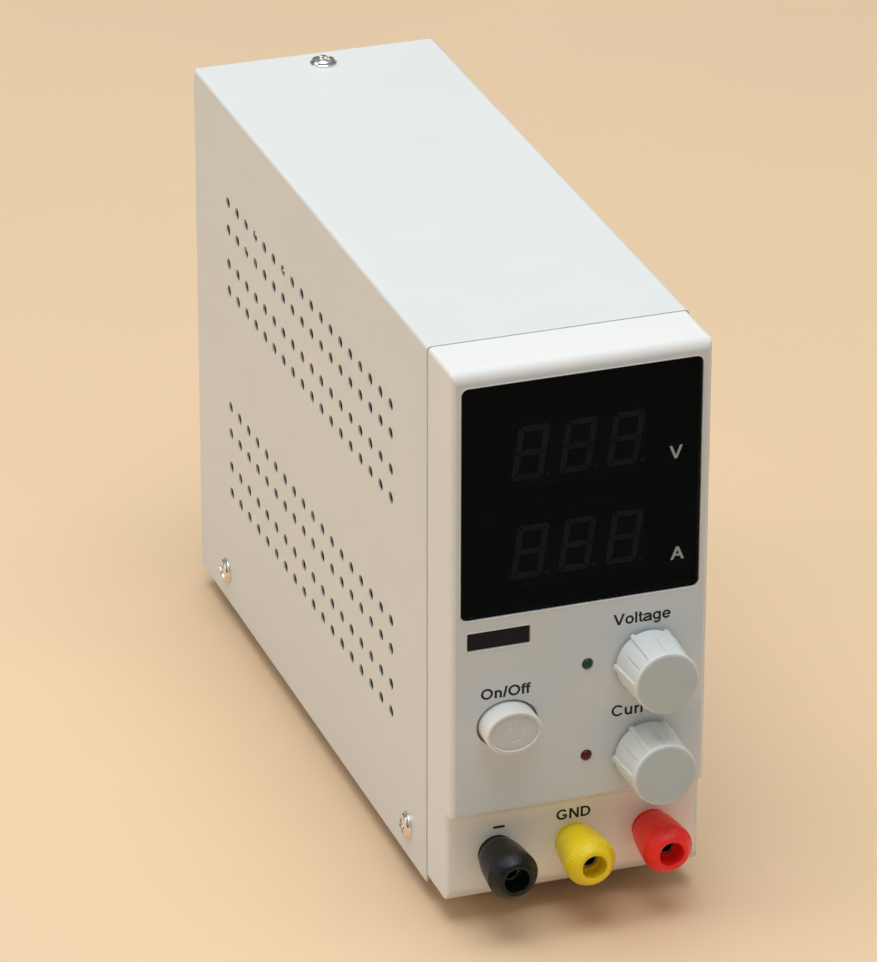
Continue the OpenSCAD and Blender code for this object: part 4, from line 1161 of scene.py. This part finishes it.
def fan_blade(origin, start):
    """Cambered, swept blade that flattens towards its tip."""
    verts, faces, grid = [], [], {}
    for side in (0, 1):
        for i in range(SPAN_STEPS + 1):
            s = i / SPAN_STEPS
            r = BLADE_ROOT_R + (BLADE_TIP_R - BLADE_ROOT_R) * s
            pitch = math.radians(52 - 18 * s)
            chord = 10.5 + 3.5 * s
            sweep = 0.25 * s * s
            for j in range(CHORD_STEPS + 1):
                q = j / CHORD_STEPS - 0.5
                camber = 0.9 * (0.25 - q * q) * 4 * (0.6 + 0.4 * s)
                half_thick = (0.75 - 0.45 * s) * (1 - (2 * q) ** 2 * 0.75) * 0.5
                x = q * chord * math.cos(pitch) + camber * math.sin(pitch)
                y = q * chord * math.sin(pitch) - camber * math.cos(pitch)
                x += (-math.sin(pitch)) * half_thick * (1 if side else -1)
                y += math.cos(pitch) * half_thick * (1 if side else -1)
                out = min(13.9, max(3.2, 8.6 + y))
                grid[side, i, j] = len(verts)
                verts.append(polar(origin, "back", start + sweep + x / r, r, out))

    def add_face(keys, forward):
        face = tuple(grid[key] for key in keys)
        faces.append(face if forward else face[::-1])

    for side in (0, 1):
        for i in range(SPAN_STEPS):
            for j in range(CHORD_STEPS):
                add_face(((side, i, j), (side, i + 1, j), (side, i + 1, j + 1),
                          (side, i, j + 1)), side)
    for i in range(SPAN_STEPS):
        for j in (0, CHORD_STEPS):
            add_face(((0, i, j), (0, i + 1, j), (1, i + 1, j), (1, i, j)), j)
    for j in range(CHORD_STEPS):
        for i in (0, SPAN_STEPS):
            add_face(((0, i, j), (1, i, j), (1, i, j + 1), (0, i, j + 1)), i)
    return verts, faces


def fan_rotor():
    # the odd number of blades makes the rotor's box lopsided, so its axis is the frame's
    middle = centre("fan_frame")
    origin = Vector((middle.x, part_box("fan_frame")[0].y, middle.z))
    hub = rounded([
        # radius, out, corner radius
        (0, 14.2, 0), (12.6, 14.2, 1.4), (12.6, 3.05, 0.3), (11.4, 3.05, 0.2), (11.4, 12, 0.8),
        (1.45, 12, 0.3), (1.45, 1.7, 0.2), (0, 1.7, 0)], steps=5)
    parts = [revolve(hub[::-1], origin, "back", circle(96))]
    parts += [fan_blade(origin, start) for start in circle(BLADES)]
    add_mesh("fan_blade_wheel", join(parts), MAT["fan_plastic"], "fan_rotor",
             sharp=45, replaced="fan_rotor")


fan_rotor()


# ---------------------------------------------------------------- output cables
def output_cables():
    """A cable of each colour, running back from its post and bending down."""
    low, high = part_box("output_cables")
    stud_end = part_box("post_studs")[1].y
    z = centre("post_studs").z
    radius = 1.5 * MM
    bend = z - low.z
    bend_y = high.y - radius - bend
    for colour in COLOURS:
        x = centre(colour + "_cap").x
        path = [Vector((x, y, z)) for y in (stud_end + 0.02 * MM, SEAM_Y + 8 * MM, bend_y)]
        for k in range(1, 9):
            q = math.pi / 2 * k / 8
            path.append(Vector((x, bend_y + bend * math.sin(q), z - bend * (1 - math.cos(q)))))
        add_mesh("output_cable_" + colour, wire(path, radius, 20),
                             MAT["cap_" + colour], sharp=50)
    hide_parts("output_cables")


output_cables()


# ---------------------------------------------------------------- switch spring
def switch_spring():
    low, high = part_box("switch_spring")
    middle = (low + high) / 2
    start, end = low.y + 0.3 * MM, high.y - 0.3 * MM
    coil_r, turns, steps = 2.75 * MM, 4.5, 200
    path = []
    for i in range(steps + 1):
        s = i / steps
        a = 2 * math.pi * turns * s
        path.append(Vector((middle.x + coil_r * math.cos(a), start + (end - start) * s,
                            middle.z + coil_r * math.sin(a))))
    coil = add_mesh("switch_spring_coil", wire(path, 0.28 * MM, 10), MAT["spring_steel"],
                    sharp=60, replaced="switch_spring")
    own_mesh(coil)


switch_spring()

# ---------------------------------------------------------------- floor, world, lights, camera
scene = bpy.context.scene


def make_floor():
    bm = bmesh.new()
    bmesh.ops.create_grid(bm, x_segments=24, y_segments=24, size=7.0)
    mesh = bpy.data.meshes.new("floor")
    bm.to_mesh(mesh)
    bm.free()
    floor = bpy.data.objects.new("floor", mesh)
    scene.collection.objects.link(floor)
    mesh.materials.append(material(
        "floor_mat", colour=(0.83, 0.60, 0.385), rough=0.6, vary=0.012, vary_scale=6, grain=700,
        bump=0.05, bump_depth=5e-5, rough_vary=0.05, specular=0.25))


def make_world():
    """Soft studio sky, grey below and pale blue above."""
    world = bpy.data.worlds.new("studio")
    scene.world = world
    tree = empty_tree(world)
    coords = node(tree, "TexCoord").outputs["Generated"]
    height = node(tree, "SeparateXYZ", {0: coords}).outputs["Z"]
    blend = remap(tree, height, onto=(0.0, 1.0), span=(-0.1, 0.9))
    ramp = node(tree, "ValToRGB", {0: blend})
    low, high = ramp.color_ramp.elements
    low.position = 0.0
    low.color = (0.20, 0.21, 0.22, 1)
    high.position = 0.9
    high.color = (0.90, 0.95, 1.0, 1)
    sky = node(tree, "Background", {"Color": ramp.outputs[0], "Strength": 0.42})
    node(tree, "OutputWorld", {0: sky.outputs[0]})


def area_light(name, position, size, power, colour):
    """Square lamp aimed at the middle of the case."""
    light = bpy.data.lights.new(name, "AREA")
    light.energy = power
    light.color = colour
    light.size = size
    lamp = bpy.data.objects.new(name, light)
    lamp.location = position
    aim = Vector((0, 0, 0.08)) - Vector(position)
    lamp.rotation_euler = aim.to_track_quat("-Z", "Y").to_euler()
    scene.collection.objects.link(lamp)


def make_camera():
    """Long lens placed from the cover's lower left corner at the seam."""
    camera = bpy.data.cameras.new("camera")
    holder = bpy.data.objects.new("camera", camera)
    scene.collection.objects.link(holder)
    corner = Vector((COVER_LO.x, SEAM_Y, COVER_Z))
    offset = Vector((-0.472974, -1.358751, 0.816686))
    heading, dip = math.radians(19.31774), math.radians(25.79998)
    forward = Vector((math.sin(heading) * math.cos(dip), math.cos(heading) * math.cos(dip),
                      -math.sin(dip)))
    right = Vector((0.9439775, -0.3300051, 0.0017553))
    up = Vector((0.1421370, 0.4113708, 0.9003172))
    turn = Matrix((right, up, -forward)).transposed()
    holder.matrix_world = Matrix.Translation(corner + offset) @ turn.to_4x4()
    camera.sensor_fit = "AUTO"
    camera.sensor_width = 36
    camera.lens = 226.829189
    camera.clip_start = 0.05
    camera.clip_end = 50
    scene.camera = holder


make_floor()
make_world()
area_light("key", position=(-0.10, -0.05, 1.9), size=1.6, power=31, colour=(0.96, 0.99, 1.0))
area_light("side", position=(-1.9, 0.25, 0.9), size=1.2, power=7.5, colour=(1.0, 0.96, 0.91))
area_light("front", position=(0.2, -2.0, 1.2), size=1.2, power=0.4, colour=(0.75, 0.90, 1.0))
make_camera()
scene.view_settings.view_transform = "Standard"
scene.view_settings.look = "None"
scene.view_settings.exposure = 0.0
scene.view_settings.gamma = 1.0
